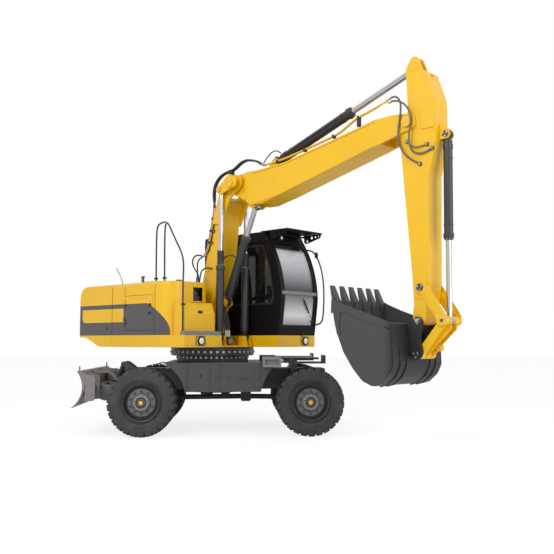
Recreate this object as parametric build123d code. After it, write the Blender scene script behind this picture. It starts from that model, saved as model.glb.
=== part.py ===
from build123d import *
import os
from math import atan2, cos, degrees, hypot, pi, radians, sin

# Wheeled excavator, millimetres.
# Chassis frame: x forward along the chassis, y left, z up, origin on the ground under the slew axis.
# The upper structure, the cab and the boom are drawn in their own frame (x towards the bucket)
# and turned by slew_angle about z when they are written.
slew_angle = -45.0

# ---------------------------------------------------------------- driving dimensions
running_gap = 0.05          # radial gap of a pin in its bore
side_gap = 0.4              # gap between the flat sides of a pinned joint
seat_gap = 0.3              # gap between pieces that move against each other
door_gap = 6.0              # gap round a door or lid
hinge_radius = 10.0
hinge_pin_radius = 5.0
hinge_length = 44.0

# wheels and axles
wheelbase = 2600.0
rear_axle_x = -1044.0
front_axle_x = rear_axle_x + wheelbase
tyre_dia = 1052.0
axle_z = tyre_dia / 2
tyre_width = 275.0
twin_gap = 50.0
track_half = 1250.0         # slew plane to the outer tyre's outer face
lug_count = 26
lug_depth = 24.0
shoulder_drop = 46.0        # radius lost from the tread to the shoulder's edge
shoulder_width = 52.0
bead_radius = 282.0
rim_wall = 16.0
rim_recess = 112.0          # depth of the wheel disc behind the outer tyre's face
disc_thick = 22.0
hub_radius = 133.0
hub_flange_radius = 212.0
hub_cap_radius = 46.0
spindle_radius = 80.0
spindle_end = 1090.0
sleeve_radius = 112.0
sleeve_start = 880.0
drum_radius = 196.0
drum_in = 600.0
drum_out = 790.0
beam_radius = 92.0
kingpin_y = 520.0
kingpin_radius = 34.0
yoke_height = 150.0
yoke_back = 410.0             # middle of the plate that joins the yoke's arms
yoke_thick = 44.0
yoke_reach = 50.0             # half width of the yoke's arms about the kingpin
diff_radius = 190.0
diff_half = 150.0
shaft_radius = 42.0
transfer_x = 565.0
transfer_length = 170.0

# chassis
beam_half = 300.0
beam_front = front_axle_x + 324.0
beam_rear = rear_axle_x - 356.0
beam_bottom = 680.0
beam_top = 1020.0
box_half = 1100.0
box_rear = rear_axle_x + 664.0
box_front = front_axle_x - 766.0
box_bottom = 680.0
box_top = 1130.0
ring_radius_low = 600.0
ring_radius_high = 700.0
ring_split = 1232.0
frame_bottom = 1370.0
step_rear = box_front + 30.0
step_front = box_front + 310.0
step_out = box_half + 125.0    # outer face of the steps and mudguards
step_bottom = 1066.0
step_top = 1215.0
guard_rear = front_axle_x - 306.0
guard_front = front_axle_x + 234.0
guard_bottom = 1120.0
guard_top = 1250.0
guard_plate = 24.0

# dozer blade
blade_half = 1250.0
blade_pivot_x = -1300.0
blade_pivot_z = 600.0
blade_pin_radius = 30.0
blade_arm_y = 350.0
blade_arm_width = 70.0
blade_ram_y = 190.0
blade_ram_foot = (-1470.0, 1090.0)
blade_ram_eye = (-1660.0, 560.0)

# upper structure
side_y = 1250.0
frame_top = 1560.0
plate = 26.0
right_front_x = 710.0
cab_front_x = 1210.0
gap_right_y = -470.0
gap_left_y = 310.0
weight_front_x = -1135.0
weight_rear_radius = 2430.0
weight_corner_x = -2080.0
weight_bottom = 1530.0
weight_top = 2410.0
weight_round = 190.0
hood_top = 2420.0
hood_split_x = -600.0
hood_wall = 40.0
service_hinge_z = (1760.0, 2060.0)
door_seam_x = -786.0
tank_rear_x = -5.0
tank_front_x = 350.0
tank_corner = 300.0
panel_gap = 4.0
box_x = (352.0, 600.0)
box_y = (-1150.0, -520.0)
box_lid_z = 2070.0
box_wall = 18.0
engine_size = (430.0, 900.0, 620.0)

# cab
cab_right_y = 310.0
cab_left_y = 1250.0
cab_rear_x = -550.0
cab_floor_z = frame_top
cab_floor_thick = 80.0
cab_roof_z = 3200.0
cab_roof_thick = 70.0
cab_wall = 50.0
cab_knee = (1285.0, 2150.0)
cab_brow = (950.0, 3200.0)
cab_bow = (1190.0, 2720.0)
door_rear_x = -60.0
door_front_x = 930.0
door_sill_z = 1700.0
door_head_z = 3080.0
cab_hinge_z = (1860.0, 2860.0)
glass_thick = 8.0

# boom plane and its pins, (x, z)
boom_y = -80.0
foot_pin = (0.0, 1720.0)
knuckle_pin = (830.0, 4000.0)
stick_pin = (4100.0, 4420.0)
bucket_pin = (4220.0, 1735.0)
rocker_pin = (4260.0, 2170.0)
link_top_pin = (4575.0, 1730.0)
link_low_pin = (4210.0, 1293.0)
lift_foot = (550.0, 1540.0)
lift_eye = (585.0, 3935.0)
adjust_foot = (425.0, 2120.0)
adjust_eye = (1090.0, 3650.0)
stick_ram_foot = (1580.0, 4300.0)
stick_ram_eye = (4090.0, 5180.0)
bucket_ram_foot = (4600.0, 4190.0)
bucket_ram_eye = link_top_pin

base_half = 200.0
head_plate = 34.0
outer_half = 200.0
hub_half = 165.0
stick_half = 165.0
fork_depth = 500.0            # radius about the stick pin that the outer boom's fork keeps free
lift_offset = 290.0         # lift rams either side of the boom plane
bucket_half = 600.0
bucket_shell = 22.0
rocker_plate = 26.0


# ---------------------------------------------------------------- helpers
def face_of(rows, on):
    """Closed outline from rows of (first, second, corner radius) on a plane."""
    points = [(a, b) for a, b, _ in rows]
    radii = [r for _, _, r in rows]
    return on * make_face(FilletPolyline(*points, radius=radii, close=True))


def face_in(*lines):
    """Face inside a closed chain of lines and arcs."""
    return make_face([edge for line in lines for edge in line.edges()])


def slab(rows, y_mid, width):
    """Side-view outline, rows of (x, z, radius), with its width across y."""
    return extrude(face_of(rows, Plane.XZ.offset(-y_mid)), width / 2, both=True)


def prism(rows, z_low, z_high):
    """Top-view outline, rows of (x, y, radius), between two heights."""
    return extrude(face_of(rows, Plane.XY.offset(z_low)), z_high - z_low)


def block(x_range, y_range, z_range):
    size = [high - low for low, high in (x_range, y_range, z_range)]
    middle = [(high + low) / 2 for low, high in (x_range, y_range, z_range)]
    return Pos(*middle) * Box(*size)


def rod_y(centre, y_low, y_high, radius):
    """Cylinder across y at (x, z)."""
    x, z = centre
    on = Plane(origin=(x, y_low, z), x_dir=(1, 0, 0), z_dir=(0, 1, 0))
    return on * Cylinder(radius, y_high - y_low, align=(Align.CENTER, Align.CENTER, Align.MIN))


def rod_z(centre, z_low, z_high, radius):
    x, y = centre
    return Pos(x, y, z_low) * Cylinder(radius, z_high - z_low, align=(Align.CENTER, Align.CENTER, Align.MIN))


def rod_between(start, end, radius):
    line = Vector(*end) - Vector(*start)
    on = Plane(origin=start, z_dir=line)
    return on * Cylinder(radius, line.length, align=(Align.CENTER, Align.CENTER, Align.MIN))


def hinge_halves(x, face_y, out, heights):
    """Upright hinges on a door face that looks along out * Y: the door's knuckles, then the frame's with the pins."""
    y = face_y + out * (hinge_radius + 2)
    leaf = sorted((face_y, face_y + out * 8))
    door, frame = [], []
    for z in heights:
        above = z + hinge_length + seat_gap
        below = z - hinge_length - seat_gap
        knuckle = rod_z((x, y), z, z + hinge_length, hinge_radius) + block((x, x + 40), leaf, (z, z + hinge_length))
        door.append(knuckle - rod_z((x, y), z - 5, z + hinge_length + 5, hinge_pin_radius + running_gap))
        for start in (below, above):
            frame.append(rod_z((x, y), start, start + hinge_length, hinge_radius))
            frame.append(block((x - 40, x), leaf, (start, start + hinge_length)))
        frame.append(rod_z((x, y), below, above + hinge_length, hinge_pin_radius))
    return door, frame


def tube_path(points, radii, radius):
    """Round bar along straight runs joined by arcs."""
    path = FilletPolyline(*points, radius=radii)
    start = Plane(origin=path @ 0, z_dir=path % 0)
    return sweep(start * Circle(radius), path=path)


def both_sides(shape):
    """The shape and its mirror image across the middle plane y = 0, as one set of solids."""
    return [shape, mirror(shape, Plane.XZ)]


def fuse(*shapes):
    flat = []
    for shape in shapes:
        flat.extend(shape if isinstance(shape, list) else [shape])
    body = flat[0]
    for other in flat[1:]:
        body = body + other
    return body


def write(name, *shapes, slewed=True):
    solids = []
    for shape in shapes:
        for one in shape if isinstance(shape, list) else [shape]:
            solids.extend(one.solids())
    if slewed:
        solids = [Rot(0, 0, slew_angle) * solid for solid in solids]
    group = Compound(children=solids) if len(solids) > 1 else solids[0]
    export_step(group, f"parts/{name}.step")


# ---------------------------------------------------------------- rams
class Ram:
    """Hydraulic ram in a side-view plane. foot and eye are (x, z); y is its middle plane."""

    def __init__(self, foot, eye, y, barrel_length, rod_length, barrel_radius, rod_radius, eye_radius, eye_half,
                 pin_radius):
        self.foot, self.eye, self.y = foot, eye, y
        self.barrel_length, self.rod_length = barrel_length, rod_length
        self.barrel_radius, self.rod_radius = barrel_radius, rod_radius
        self.eye_radius, self.eye_half, self.pin_radius = eye_radius, eye_half, pin_radius
        dx, dz = eye[0] - foot[0], eye[1] - foot[1]
        self.length = hypot(dx, dz)
        self.along = (dx / self.length, dz / self.length)

    def at(self, distance):
        return (self.foot[0] + self.along[0] * distance, self.y, self.foot[1] + self.along[1] * distance)

    def barrel(self):
        body = rod_between(self.at(self.eye_radius + 20), self.at(self.barrel_length), self.barrel_radius)
        gland = rod_between(self.at(self.barrel_length - 70), self.at(self.barrel_length), self.barrel_radius * 1.12)
        shank = rod_between(self.at(self.eye_radius * 0.35), self.at(self.eye_radius + 40), self.eye_half)
        eye = rod_y(self.foot, self.y - self.eye_half, self.y + self.eye_half, self.eye_radius)
        port = rod_between(self.at(self.eye_radius + 70), self.at(self.eye_radius + 130), self.barrel_radius * 1.1)
        lump = fuse(body, gland, shank, eye, port)
        lump -= rod_between(self.at(self.eye_radius + 55), self.at(self.barrel_length + 5),
                            self.rod_radius + running_gap)
        lump -= rod_y(self.foot, self.y - self.eye_half - 5, self.y + self.eye_half + 5,
                      self.pin_radius + running_gap)
        return lump

    def rod(self):
        start = self.length - self.rod_length
        bar = rod_between(self.at(start), self.at(self.length - self.eye_radius * 0.5), self.rod_radius)
        eye = rod_y(self.eye, self.y - self.eye_half, self.y + self.eye_half, self.eye_radius)
        return bar + eye


def ear_pair(ram, centre, rows, thick, reach):
    """Two plates either side of a ram's eye, with the pin between them where the pin is theirs."""
    plates = []
    for side in (-1, 1):
        middle = ram.y + side * (ram.eye_half + side_gap + thick / 2)
        plates.append(slab(rows, middle, thick))
    if reach:
        half = ram.eye_half + side_gap + thick + 6
        plates.append(rod_y(centre, ram.y - half, ram.y + half, ram.pin_radius))
    return plates


lift_rams = [Ram(lift_foot, lift_eye, boom_y + side * lift_offset, 1150, 1560, 64, 38, 70, 38, 36)
             for side in (-1, 1)]
adjust_ram = Ram(adjust_foot, adjust_eye, boom_y, 1130, 1330, 70, 43, 72, 46, 38)
stick_ram = Ram(stick_ram_foot, stick_ram_eye, boom_y, 1545, 1690, 72, 45, 78, 48, 38)
bucket_ram = Ram(bucket_ram_foot, bucket_ram_eye, boom_y, 1385, 1360, 60, 38, 62, 38, 34)
blade_rams = [Ram(blade_ram_foot, blade_ram_eye, side * blade_ram_y, 335, 303, 36, 22, 38, 30, 18)
              for side in (-1, 1)]


# ---------------------------------------------------------------- wheels, on the right side (y < 0)
def tyre_pair(axle_x):
    """Twin tyres: lugged tread outline, with cones down to the sidewalls."""
    tread = tyre_dia / 2
    root = tread - lug_depth
    pitch = 2 * pi / lug_count
    lugs = []
    for i in range(lug_count):
        for share, radius in ((0.0, tread), (0.56, tread), (0.64, root), (0.92, root)):
            angle = (i + share) * pitch
            lugs.append((radius * cos(angle), radius * sin(angle)))
    ring = [(root * cos(i * pitch), root * sin(i * pitch)) for i in range(lug_count)]
    edge = tread - shoulder_drop
    rim = [(edge * cos(i * pitch), edge * sin(i * pitch)) for i in range(lug_count)]
    band = tyre_width - 2 * shoulder_width
    tyre = Pos(0, 0, shoulder_width) * extrude(make_face(Polyline(*lugs, close=True)), band)
    low = loft([make_face(Polyline(*rim, close=True)),
                Pos(0, 0, shoulder_width) * make_face(Polyline(*ring, close=True))], ruled=True)
    high = mirror(low, Plane.XY.offset(tyre_width / 2))
    bore = Cylinder(bead_radius, tyre_width, align=(Align.CENTER, Align.CENTER, Align.MIN))
    tyre = (tyre + low + high) - bore
    outer = Plane(origin=(axle_x, -track_half, axle_z), x_dir=(1, 0, 0), z_dir=(0, 1, 0))
    inner = outer.offset(tyre_width + twin_gap)
    return [outer * tyre, inner * tyre]


def wheel_hub(axle_x):
    """Rim barrel, wheel disc, hub flange and planetary hub turned in one piece on the axle line."""
    out = -track_half
    disc = out + rim_recess
    rows = [  # (distance along the axle from the middle plane, radius)
        (out + 2, 0), (out + 2, hub_cap_radius), (out + 22, hub_cap_radius), (out + 22, hub_radius - 16),
        (out + 34, hub_radius), (disc - 26, hub_radius), (disc - 26, hub_flange_radius),
        (disc, hub_flange_radius), (disc, bead_radius - rim_wall), (out + 14, bead_radius - rim_wall),
        (out + 14, bead_radius), (-track_half + 2 * tyre_width + twin_gap - 14, bead_radius),
        (-track_half + 2 * tyre_width + twin_gap - 14, bead_radius - rim_wall),
        (disc + disc_thick, bead_radius - rim_wall), (disc + disc_thick, sleeve_radius),
        (-sleeve_start, sleeve_radius), (-sleeve_start, spindle_radius + running_gap),
        (-spindle_end - 6, spindle_radius + running_gap), (-spindle_end - 6, 0)]
    half = make_face(Polyline(*[(y, r) for y, r in rows], close=True))
    turned = revolve(Plane(origin=(axle_x, 0, axle_z), x_dir=(0, 1, 0), z_dir=(1, 0, 0)) * half,
                     axis=Axis((axle_x, 0, axle_z), (0, 1, 0)))
    return turned


def spindle(axle_x):
    drum = rod_y((axle_x, axle_z), -drum_out, -drum_in, drum_radius)
    stub = rod_y((axle_x, axle_z), -spindle_end, -drum_out + 20, spindle_radius)
    return drum + stub


# ---------------------------------------------------------------- axles
def axle_centre(axle_x, reach):
    """Differential and beam tubes, with the pads under the chassis beam."""
    body = rod_y((axle_x, axle_z), -diff_half, diff_half, diff_radius * 0.72)
    bowl = Pos(axle_x, 0, axle_z) * Sphere(diff_radius)
    bowl = bowl & block((axle_x - diff_radius, axle_x + diff_radius), (-diff_half, diff_half),
                        (axle_z - diff_radius, beam_bottom - 20))
    tube = rod_y((axle_x, axle_z), -reach, reach, beam_radius)
    pads = both_sides(block((axle_x - 90, axle_x + 90), (-beam_half + 10, -beam_half + 110),
                            (axle_z + 40, beam_bottom)))
    return fuse(body, bowl, tube, pads)


def yoke(axle_x):
    """Fork that holds the kingpin, on the right end of the steered axle."""
    half = yoke_height
    back_rows = [(axle_x - 70, axle_z - half, 20), (axle_x + 70, axle_z - half, 20),
                 (axle_x + 70, axle_z + half, 20), (axle_x - 70, axle_z + half, 20)]
    back = slab(back_rows, -yoke_back, 50)
    arms = [block((axle_x - yoke_reach, axle_x + yoke_reach), (-kingpin_y - yoke_reach, -yoke_back), (z, z + yoke_thick))
            for z in (axle_z - half, axle_z + half - yoke_thick)]
    bore = rod_z((axle_x, -kingpin_y), axle_z - half - 5, axle_z + half + 5, kingpin_radius + running_gap)
    return fuse(back, arms) - bore


def knuckle(axle_x):
    inside = yoke_height - yoke_thick - seat_gap
    core = block((axle_x - 56, axle_x + 56), (-drum_in - 10, -kingpin_y + 50), (axle_z - inside, axle_z + inside))
    pin = rod_z((axle_x, -kingpin_y), axle_z - yoke_height, axle_z + yoke_height, kingpin_radius)
    arm = block((axle_x - 230, axle_x - 50), (-kingpin_y - 40, -kingpin_y + 10), (axle_z - 60, axle_z - 20))
    return fuse(core, pin, arm, spindle(axle_x))


# ---------------------------------------------------------------- chassis
def arch(axle_x, corner_x):
    """Radius about the axle that passes through the lower corner of the side box."""
    return hypot(corner_x - axle_x, box_bottom - axle_z)


def side_box():
    """Side box with wheel-arch gussets concentric with the tyres."""
    r_front = arch(front_axle_x, box_front)
    r_rear = arch(rear_axle_x, box_rear)
    rise = box_top - axle_z
    x_front = front_axle_x - (r_front ** 2 - rise ** 2) ** 0.5
    x_rear = rear_axle_x + (r_rear ** 2 - rise ** 2) ** 0.5
    rows = [(x_rear - 1, box_top, 0), (x_front + 1, box_top, 0), (x_front + 1, box_bottom + 200, 0),
            (box_front, box_bottom, 0), (box_rear, box_bottom, 0), (x_rear - 1, box_bottom + 200, 0)]
    body = slab(rows, 0, 2 * box_half)
    body -= rod_y((front_axle_x, axle_z), -box_half - 5, box_half + 5, r_front)
    body -= rod_y((rear_axle_x, axle_z), -box_half - 5, box_half + 5, r_rear)
    dimple = 14.0
    for x in (110.0, 300.0):
        body -= both_sides(rod_y((x, 900.0), -box_half, -box_half + dimple, 34.0))
    body -= both_sides(block((480.0, 620.0), (-box_half, -box_half + dimple), (860.0, 905.0)))
    return body


def chassis_frame():
    beam_rows = [(beam_rear, beam_bottom + 90, 20), (beam_rear + 180, beam_bottom, 40),
                 (beam_front - 260, beam_bottom, 40), (beam_front, beam_bottom + 150, 30),
                 (beam_front, beam_top, 20), (beam_rear, beam_top, 20)]
    beam = slab(beam_rows, 0, 2 * beam_half)
    ring = rod_z((0, 0), box_top - 5, ring_split, ring_radius_low)
    lug_rows = [(blade_pivot_x - 75, blade_pivot_z, 60), (blade_pivot_x, blade_pivot_z - 75, 60),
                (blade_pivot_x + 75, blade_pivot_z, 60), (blade_pivot_x + 130, beam_top - 60, 20),
                (blade_pivot_x - 130, beam_top - 60, 20)]
    lug_y = blade_arm_y - blade_arm_width / 2 - side_gap
    lug = slab(lug_rows, -(beam_half - 15 + lug_y) / 2, lug_y - beam_half + 15)
    pivot = (blade_pivot_x, blade_pivot_z)
    pin = rod_y(pivot, -blade_arm_y - blade_arm_width / 2 - side_gap, -lug_y + 10, blade_pin_radius)
    keeper = rod_y(pivot, -blade_arm_y - blade_arm_width / 2 - 14, -blade_arm_y - blade_arm_width / 2 - side_gap,
                   blade_pin_radius + 14)
    x, z = blade_ram_foot
    ear_rows = [(x - 44, z, 30), (x, z + 44, 26), (x + 60, z + 30, 40), (x + 200, beam_top - 10, 0),
                (beam_rear + 5, beam_top - 200, 0), (x + 22, z - 44, 20)]
    bracket = ear_pair(blade_rams[0], blade_ram_foot, ear_rows, 24, True)
    hitch = block((beam_front - 20, beam_front + 60), (-90, 90), (860, 900))
    hitch -= rod_z((beam_front + 30, 0), 850, 910, 21.0)
    return fuse(beam, side_box(), ring, both_sides(lug), both_sides(pin), both_sides(keeper),
                [half for ear in bracket for half in both_sides(ear)], hitch)


def steps():
    """Step box and mudguard above the front wheel, on the right side."""
    step = block((step_rear, step_front), (-step_out, -box_half - panel_gap), (step_bottom, step_top))
    step += block((step_rear, step_front), (-step_out, -640), (box_top, step_top))
    step -= block((step_rear + 30, step_front - 30), (-step_out, -step_out + 45), (step_bottom + 40, step_top - 30))
    carrier = block((step_rear + 20, guard_front - 60), (-770, -beam_half), (step_top - 40, step_top - 10))
    tray = block((guard_rear, guard_front), (-step_out, -740), (guard_bottom, guard_bottom + guard_plate))
    tray += block((guard_front - guard_plate, guard_front), (-step_out, -740), (guard_bottom, guard_top))
    tray += block((guard_rear, guard_rear + guard_plate), (-step_out, -740), (guard_bottom, guard_top - 60))
    tray += block((step_front - 20, guard_rear + 10), (-step_out, -step_out + 30), (guard_bottom + 10, guard_bottom + 50))
    foot = block((guard_rear + 60, guard_rear + 160), (-beam_half - 60, -beam_half), (beam_top - 120, step_top - 10))
    foot += block((step_rear + 60, step_rear + 160), (-beam_half - 60, -beam_half), (box_top, step_top - 10))
    return fuse(step, carrier, tray, foot)


def driveline():
    case_rows = [(transfer_x - transfer_length / 2, 470, 30), (transfer_x + transfer_length / 2, 470, 30),
                 (transfer_x + transfer_length / 2, 640, 10), (transfer_x - transfer_length / 2, 640, 10)]
    case = slab(case_rows, 0, 360)
    case += block((transfer_x - 60, transfer_x + 60), (-120, 120), (600, box_bottom))
    front = rod_between((transfer_x + 60, 0, 540), (front_axle_x - diff_radius + 20, 0, axle_z), shaft_radius)
    rear = rod_between((transfer_x - 60, 0, 540), (rear_axle_x + diff_radius - 20, 0, axle_z), shaft_radius)
    keep_front = Pos(front_axle_x, 0, axle_z) * Sphere(diff_radius)
    keep_rear = Pos(rear_axle_x, 0, axle_z) * Sphere(diff_radius)
    return (fuse(case, front, rear) - keep_front) - keep_rear


# ---------------------------------------------------------------- dozer blade
def blade_skin():
    front = [(-2020, 1012), (-1935, 740), (-2100, 456)]
    back = [(-2075, 456), (-1905, 735), (-1952, 1012)]
    edge = Polyline(front[2], back[0])
    top = Polyline(back[2], front[0])
    face = Plane.XZ * face_in(ThreePointArc(*front), edge, ThreePointArc(*back), top)
    return extrude(face, blade_half, both=True)


def dozer_blade():
    skin = blade_skin()
    rib_rows = [(-1900, 560, 0), (-1740, 560, 40), (-1740, 930, 60), (-1935, 985, 0), (-1880, 735, 0)]
    ribs = [slab(rib_rows, y, 24) for y in (12 - blade_half, 430 - blade_half, blade_half - 430, blade_half - 12)]
    spine = block((-1900, -1790), (-blade_half + 12, blade_half - 12), (690, 770))
    arm_rows = [(-1900, 560, 0), (-1740, 500, 20), (blade_pivot_x, blade_pivot_z - 62, 55),
                (blade_pivot_x + 62, blade_pivot_z, 55), (blade_pivot_x, blade_pivot_z + 62, 55),
                (-1700, 760, 60), (-1905, 790, 0)]
    arm = slab(arm_rows, -blade_arm_y, blade_arm_width)
    arm -= rod_y((blade_pivot_x, blade_pivot_z), -blade_arm_y - 50, -blade_arm_y + 50,
                 blade_pin_radius + running_gap)
    strut = rod_between((-1680, -blade_arm_y, 985), (-1455, -blade_arm_y, 745), 32)
    head = block((-1950, -1650), (-blade_arm_y - 30, -blade_arm_y + 30), (950, 1000))
    x, z = blade_ram_eye
    ear_rows = [(x - 240, z - 20, 0), (x, z - 50, 30), (x + 50, z, 30), (x, z + 50, 30), (x - 240, z + 84, 0)]
    ears = ear_pair(blade_rams[0], blade_ram_eye, ear_rows, 24, False)
    cross = block((-1880, -1740), (-blade_arm_y, -blade_ram_y + 60), (540, 640))
    posts = [rod_z((-1980, y), 1000, 1085, 11) for y in (35 - blade_half, blade_half - 35)]
    parts = [skin, ribs, spine, posts]
    for piece in [arm, strut, head, cross, *ears]:
        parts.append(both_sides(piece))
    return fuse(*parts)


# ---------------------------------------------------------------- upper frame
def upper_frame():
    right = block((weight_front_x, right_front_x), (-side_y, gap_right_y), (frame_bottom, frame_top))
    left = block((weight_front_x, cab_front_x), (gap_left_y, side_y), (frame_bottom, frame_top))
    middle = block((weight_front_x, 640), (gap_right_y - 5, gap_left_y + 5), (frame_bottom, frame_bottom + plate))
    rear = block((weight_front_x, -420), (gap_right_y - 5, gap_left_y + 5), (frame_bottom, frame_top))
    ring = rod_z((0, 0), ring_split + seat_gap, frame_bottom + 5, ring_radius_high)
    x, z = foot_pin
    tower_rows = [(-430, frame_bottom, 0), (430, frame_bottom, 0), (300, 1560, 60), (x + 130, z + 20, 100),
                  (x, z + 150, 100), (x - 130, z + 40, 90), (-430, 1600, 0)]
    inner = base_half + side_gap
    towers = [slab(tower_rows, boom_y + side * (inner + 12), 24) for side in (-1, 1)]
    pin = rod_y(foot_pin, boom_y - inner - 34, boom_y + inner + 34, 55)
    x, z = lift_foot
    ear_rows = [(x - 130, frame_bottom, 0), (x + 120, frame_bottom, 0), (x + 84, z, 60), (x, z + 84, 70),
                (x - 84, z, 60)]
    feet = []
    for ram in lift_rams:
        feet.extend(ear_pair(ram, lift_foot, ear_rows, 22, True))
    weight_seat = block((weight_corner_x + 330, weight_front_x), (-700, 700), (frame_bottom, frame_bottom + 100))
    return fuse(right, left, middle, rear, ring, towers, pin, feet, weight_seat)


def counterweight():
    arc = ThreePointArc((weight_corner_x, -side_y), (-weight_rear_radius, 0), (weight_corner_x, side_y))
    sides = Polyline((weight_corner_x, side_y), (weight_front_x - panel_gap, side_y),
                     (weight_front_x - panel_gap, -side_y), (weight_corner_x, -side_y))
    body = Pos(0, 0, frame_bottom) * extrude(face_in(arc, sides), weight_top - frame_bottom)
    top_edges = body.edges().filter_by(GeomType.CIRCLE).sort_by(Axis.Z)[-1:]
    body = fillet(top_edges, weight_round)
    under = slab([(weight_front_x + 10, frame_bottom - 10, 0), (weight_front_x + 10, frame_bottom, 0),
                  (-1500, frame_bottom, 500), (-1900, weight_bottom, 500), (-2600, weight_bottom, 0),
                  (-2600, frame_bottom - 10, 0)], 0, 2 * side_y + 20)
    body -= under
    body -= block((weight_corner_x + 330 - seat_gap, weight_front_x + 5), (-700 - seat_gap, 700 + seat_gap),
                  (frame_bottom - 5, frame_bottom + 100))
    return body


def hood_outline(inset):
    """Top view of the engine cover: the full width behind the cab, and the right side of the boom gap."""
    rear = weight_front_x + inset
    split = hood_split_x - inset
    right = -side_y + inset
    return [(rear, right, 0), (tank_rear_x - panel_gap - inset, right, 0),
            (tank_rear_x - panel_gap - inset, gap_right_y - inset, 0),
            (split, gap_right_y - inset, 0), (split, side_y - inset, 0), (rear, side_y - inset, 0)]


def service_door_range():
    return (door_seam_x, tank_rear_x - 60), (1640.0, 2210.0)


def engine_cover():
    outside = prism(hood_outline(0), frame_top, hood_top)
    inside = prism(hood_outline(hood_wall), frame_top - 5, hood_top - hood_wall)
    roof = outside.edges().filter_by(Axis.X).filter_by_position(Axis.Z, hood_top - 1, hood_top + 1)
    long_edges = [e for e in roof if abs(abs(e.center().Y) - side_y) < 1]
    outside = fillet(long_edges, 60)
    (x_low, x_high), (z_low, z_high) = service_door_range()
    hole = block((x_low, x_high), (-side_y - 5, -side_y + hood_wall + 5), (z_low, z_high))
    hinges = hinge_halves(x_low + door_gap / 2, -side_y, -1, service_hinge_z)[1]
    return fuse(outside - inside - hole, hinges)


def service_door():
    (x_low, x_high), (z_low, z_high) = service_door_range()
    gap = door_gap
    panel = block((x_low + gap, x_high - gap), (-side_y, -side_y + hood_wall - 4), (z_low + gap, z_high - gap))
    handle = block((x_high - 160, x_high - 90), (-side_y - 12, -side_y + 5), (1900, 1930))
    hinges = hinge_halves(x_low + gap / 2, -side_y, -1, service_hinge_z)[0]
    return fuse(panel, handle, hinges)


def engine_block():
    length, width, height = engine_size
    x_low = weight_front_x + hood_wall + 20
    return block((x_low, x_low + length), (-width / 2, width / 2), (frame_top, frame_top + height))


def tank():
    outline = [(tank_rear_x, -side_y, 0), (tank_front_x, -side_y, tank_corner), (tank_front_x, gap_right_y, 30),
               (tank_rear_x, gap_right_y, 0)]
    body = prism(outline, frame_top, hood_top)
    body = fillet(body.faces().sort_by(Axis.Z)[-1].outer_wire().edges().filter_by(GeomType.CIRCLE), 40)
    valves = block((tank_front_x - 120, tank_front_x + 5), (-760, -560), (2110, 2330))
    return body - valves


def toolbox():
    (x0, x1), (y0, y1) = box_x, box_y
    rows = [(x0, frame_top, 0), (x1, frame_top, 0), (x1, frame_top + 330, 30), (x1 - 60, box_lid_z - 26, 0),
            (x0, box_lid_z - 26, 0)]
    body = slab(rows, (y0 + y1) / 2, y1 - y0)
    hollow = block((x0 + box_wall, x1 - 90), (y0 + box_wall, y1 - box_wall), (frame_top + 140, box_lid_z + 10))
    return body - hollow


def toolbox_lid():
    (x0, x1), (y0, y1) = box_x, box_y
    lid = block((x0 + 8, x1 - 62), (y0, y1), (box_lid_z - 26 + seat_gap, box_lid_z))
    latch = block((x1 - 62, x1 - 50), (-860, -800), (box_lid_z - 24, box_lid_z - 4))
    hinge = rod_y((x0 + 9, box_lid_z), y0 + 60, y1 - 60, 8)
    return fuse(lid, latch, hinge)


# ---------------------------------------------------------------- cab
def cab_side_face(inset):
    """Side view of the cab with its bowed windscreen, moved in by inset."""
    knee = (cab_knee[0] - inset, cab_knee[1])
    brow = (cab_brow[0] - inset, cab_roof_z - inset)
    bow = (cab_bow[0] - inset, cab_bow[1])
    low = cab_floor_z + inset
    back = cab_rear_x + inset
    line = Polyline(brow, (back, cab_roof_z - inset), (back, low), (cab_front_x - inset, low), knee)
    return face_in(ThreePointArc(knee, bow, brow), line)


def cab_slab(inset, y_low, y_high):
    return extrude(Plane.XZ.offset(-y_low) * cab_side_face(inset), y_low - y_high)


def window_rows(kind):
    """Cut-outs of the side walls: (x, z, radius)."""
    table = {
        "right": [(-420, 2080, 60), (1090, 2080, 60), (1120, 2200, 40), (1030, 2700, 60), (880, 3060, 60),
                  (-420, 3060, 60)],
        "left_rear": [(-440, 2080, 50), (-150, 2080, 50), (-150, 3050, 50), (-440, 3050, 50)],
        "left_front": [(1010, 2220, 20), (1130, 2220, 20), (1100, 2560, 0), (1010, 2800, 20)],
        "door": [(30, 1860, 60), (850, 1860, 60), (850, 2990, 60), (30, 2990, 60)],
    }
    return table[kind]


def cab_walls():
    roof_under = cab_roof_z - cab_roof_thick
    floor_over = cab_floor_z + cab_floor_thick
    trim = block((-600, 1400), (cab_right_y - 5, cab_left_y + 5), (floor_over, roof_under))
    right = cab_slab(0, cab_right_y, cab_right_y + cab_wall) & trim
    left = cab_slab(0, cab_left_y - cab_wall, cab_left_y) & trim
    middle = cab_right_y + cab_wall / 2
    right -= slab(window_rows("right"), middle, cab_wall + 10)
    middle = cab_left_y - cab_wall / 2
    left -= slab(window_rows("left_rear"), middle, cab_wall + 10)
    left -= slab(window_rows("left_front"), middle, cab_wall + 10)
    left -= block((door_rear_x, door_front_x), (cab_left_y - cab_wall - 5, cab_left_y + 5), (door_sill_z, door_head_z))
    left = fuse(left, hinge_halves(door_rear_x + door_gap / 2, cab_left_y, 1, cab_hinge_z)[1])
    return right, left


def cab_rear_wall():
    wall = block((cab_rear_x, cab_rear_x + cab_wall), (cab_right_y + cab_wall, cab_left_y - cab_wall),
                 (cab_floor_z + cab_floor_thick, cab_roof_z - cab_roof_thick))
    return wall - block((cab_rear_x - 5, cab_rear_x + cab_wall + 5), (cab_right_y + 130, cab_left_y - 130),
                        (2180, 3050))


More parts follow.
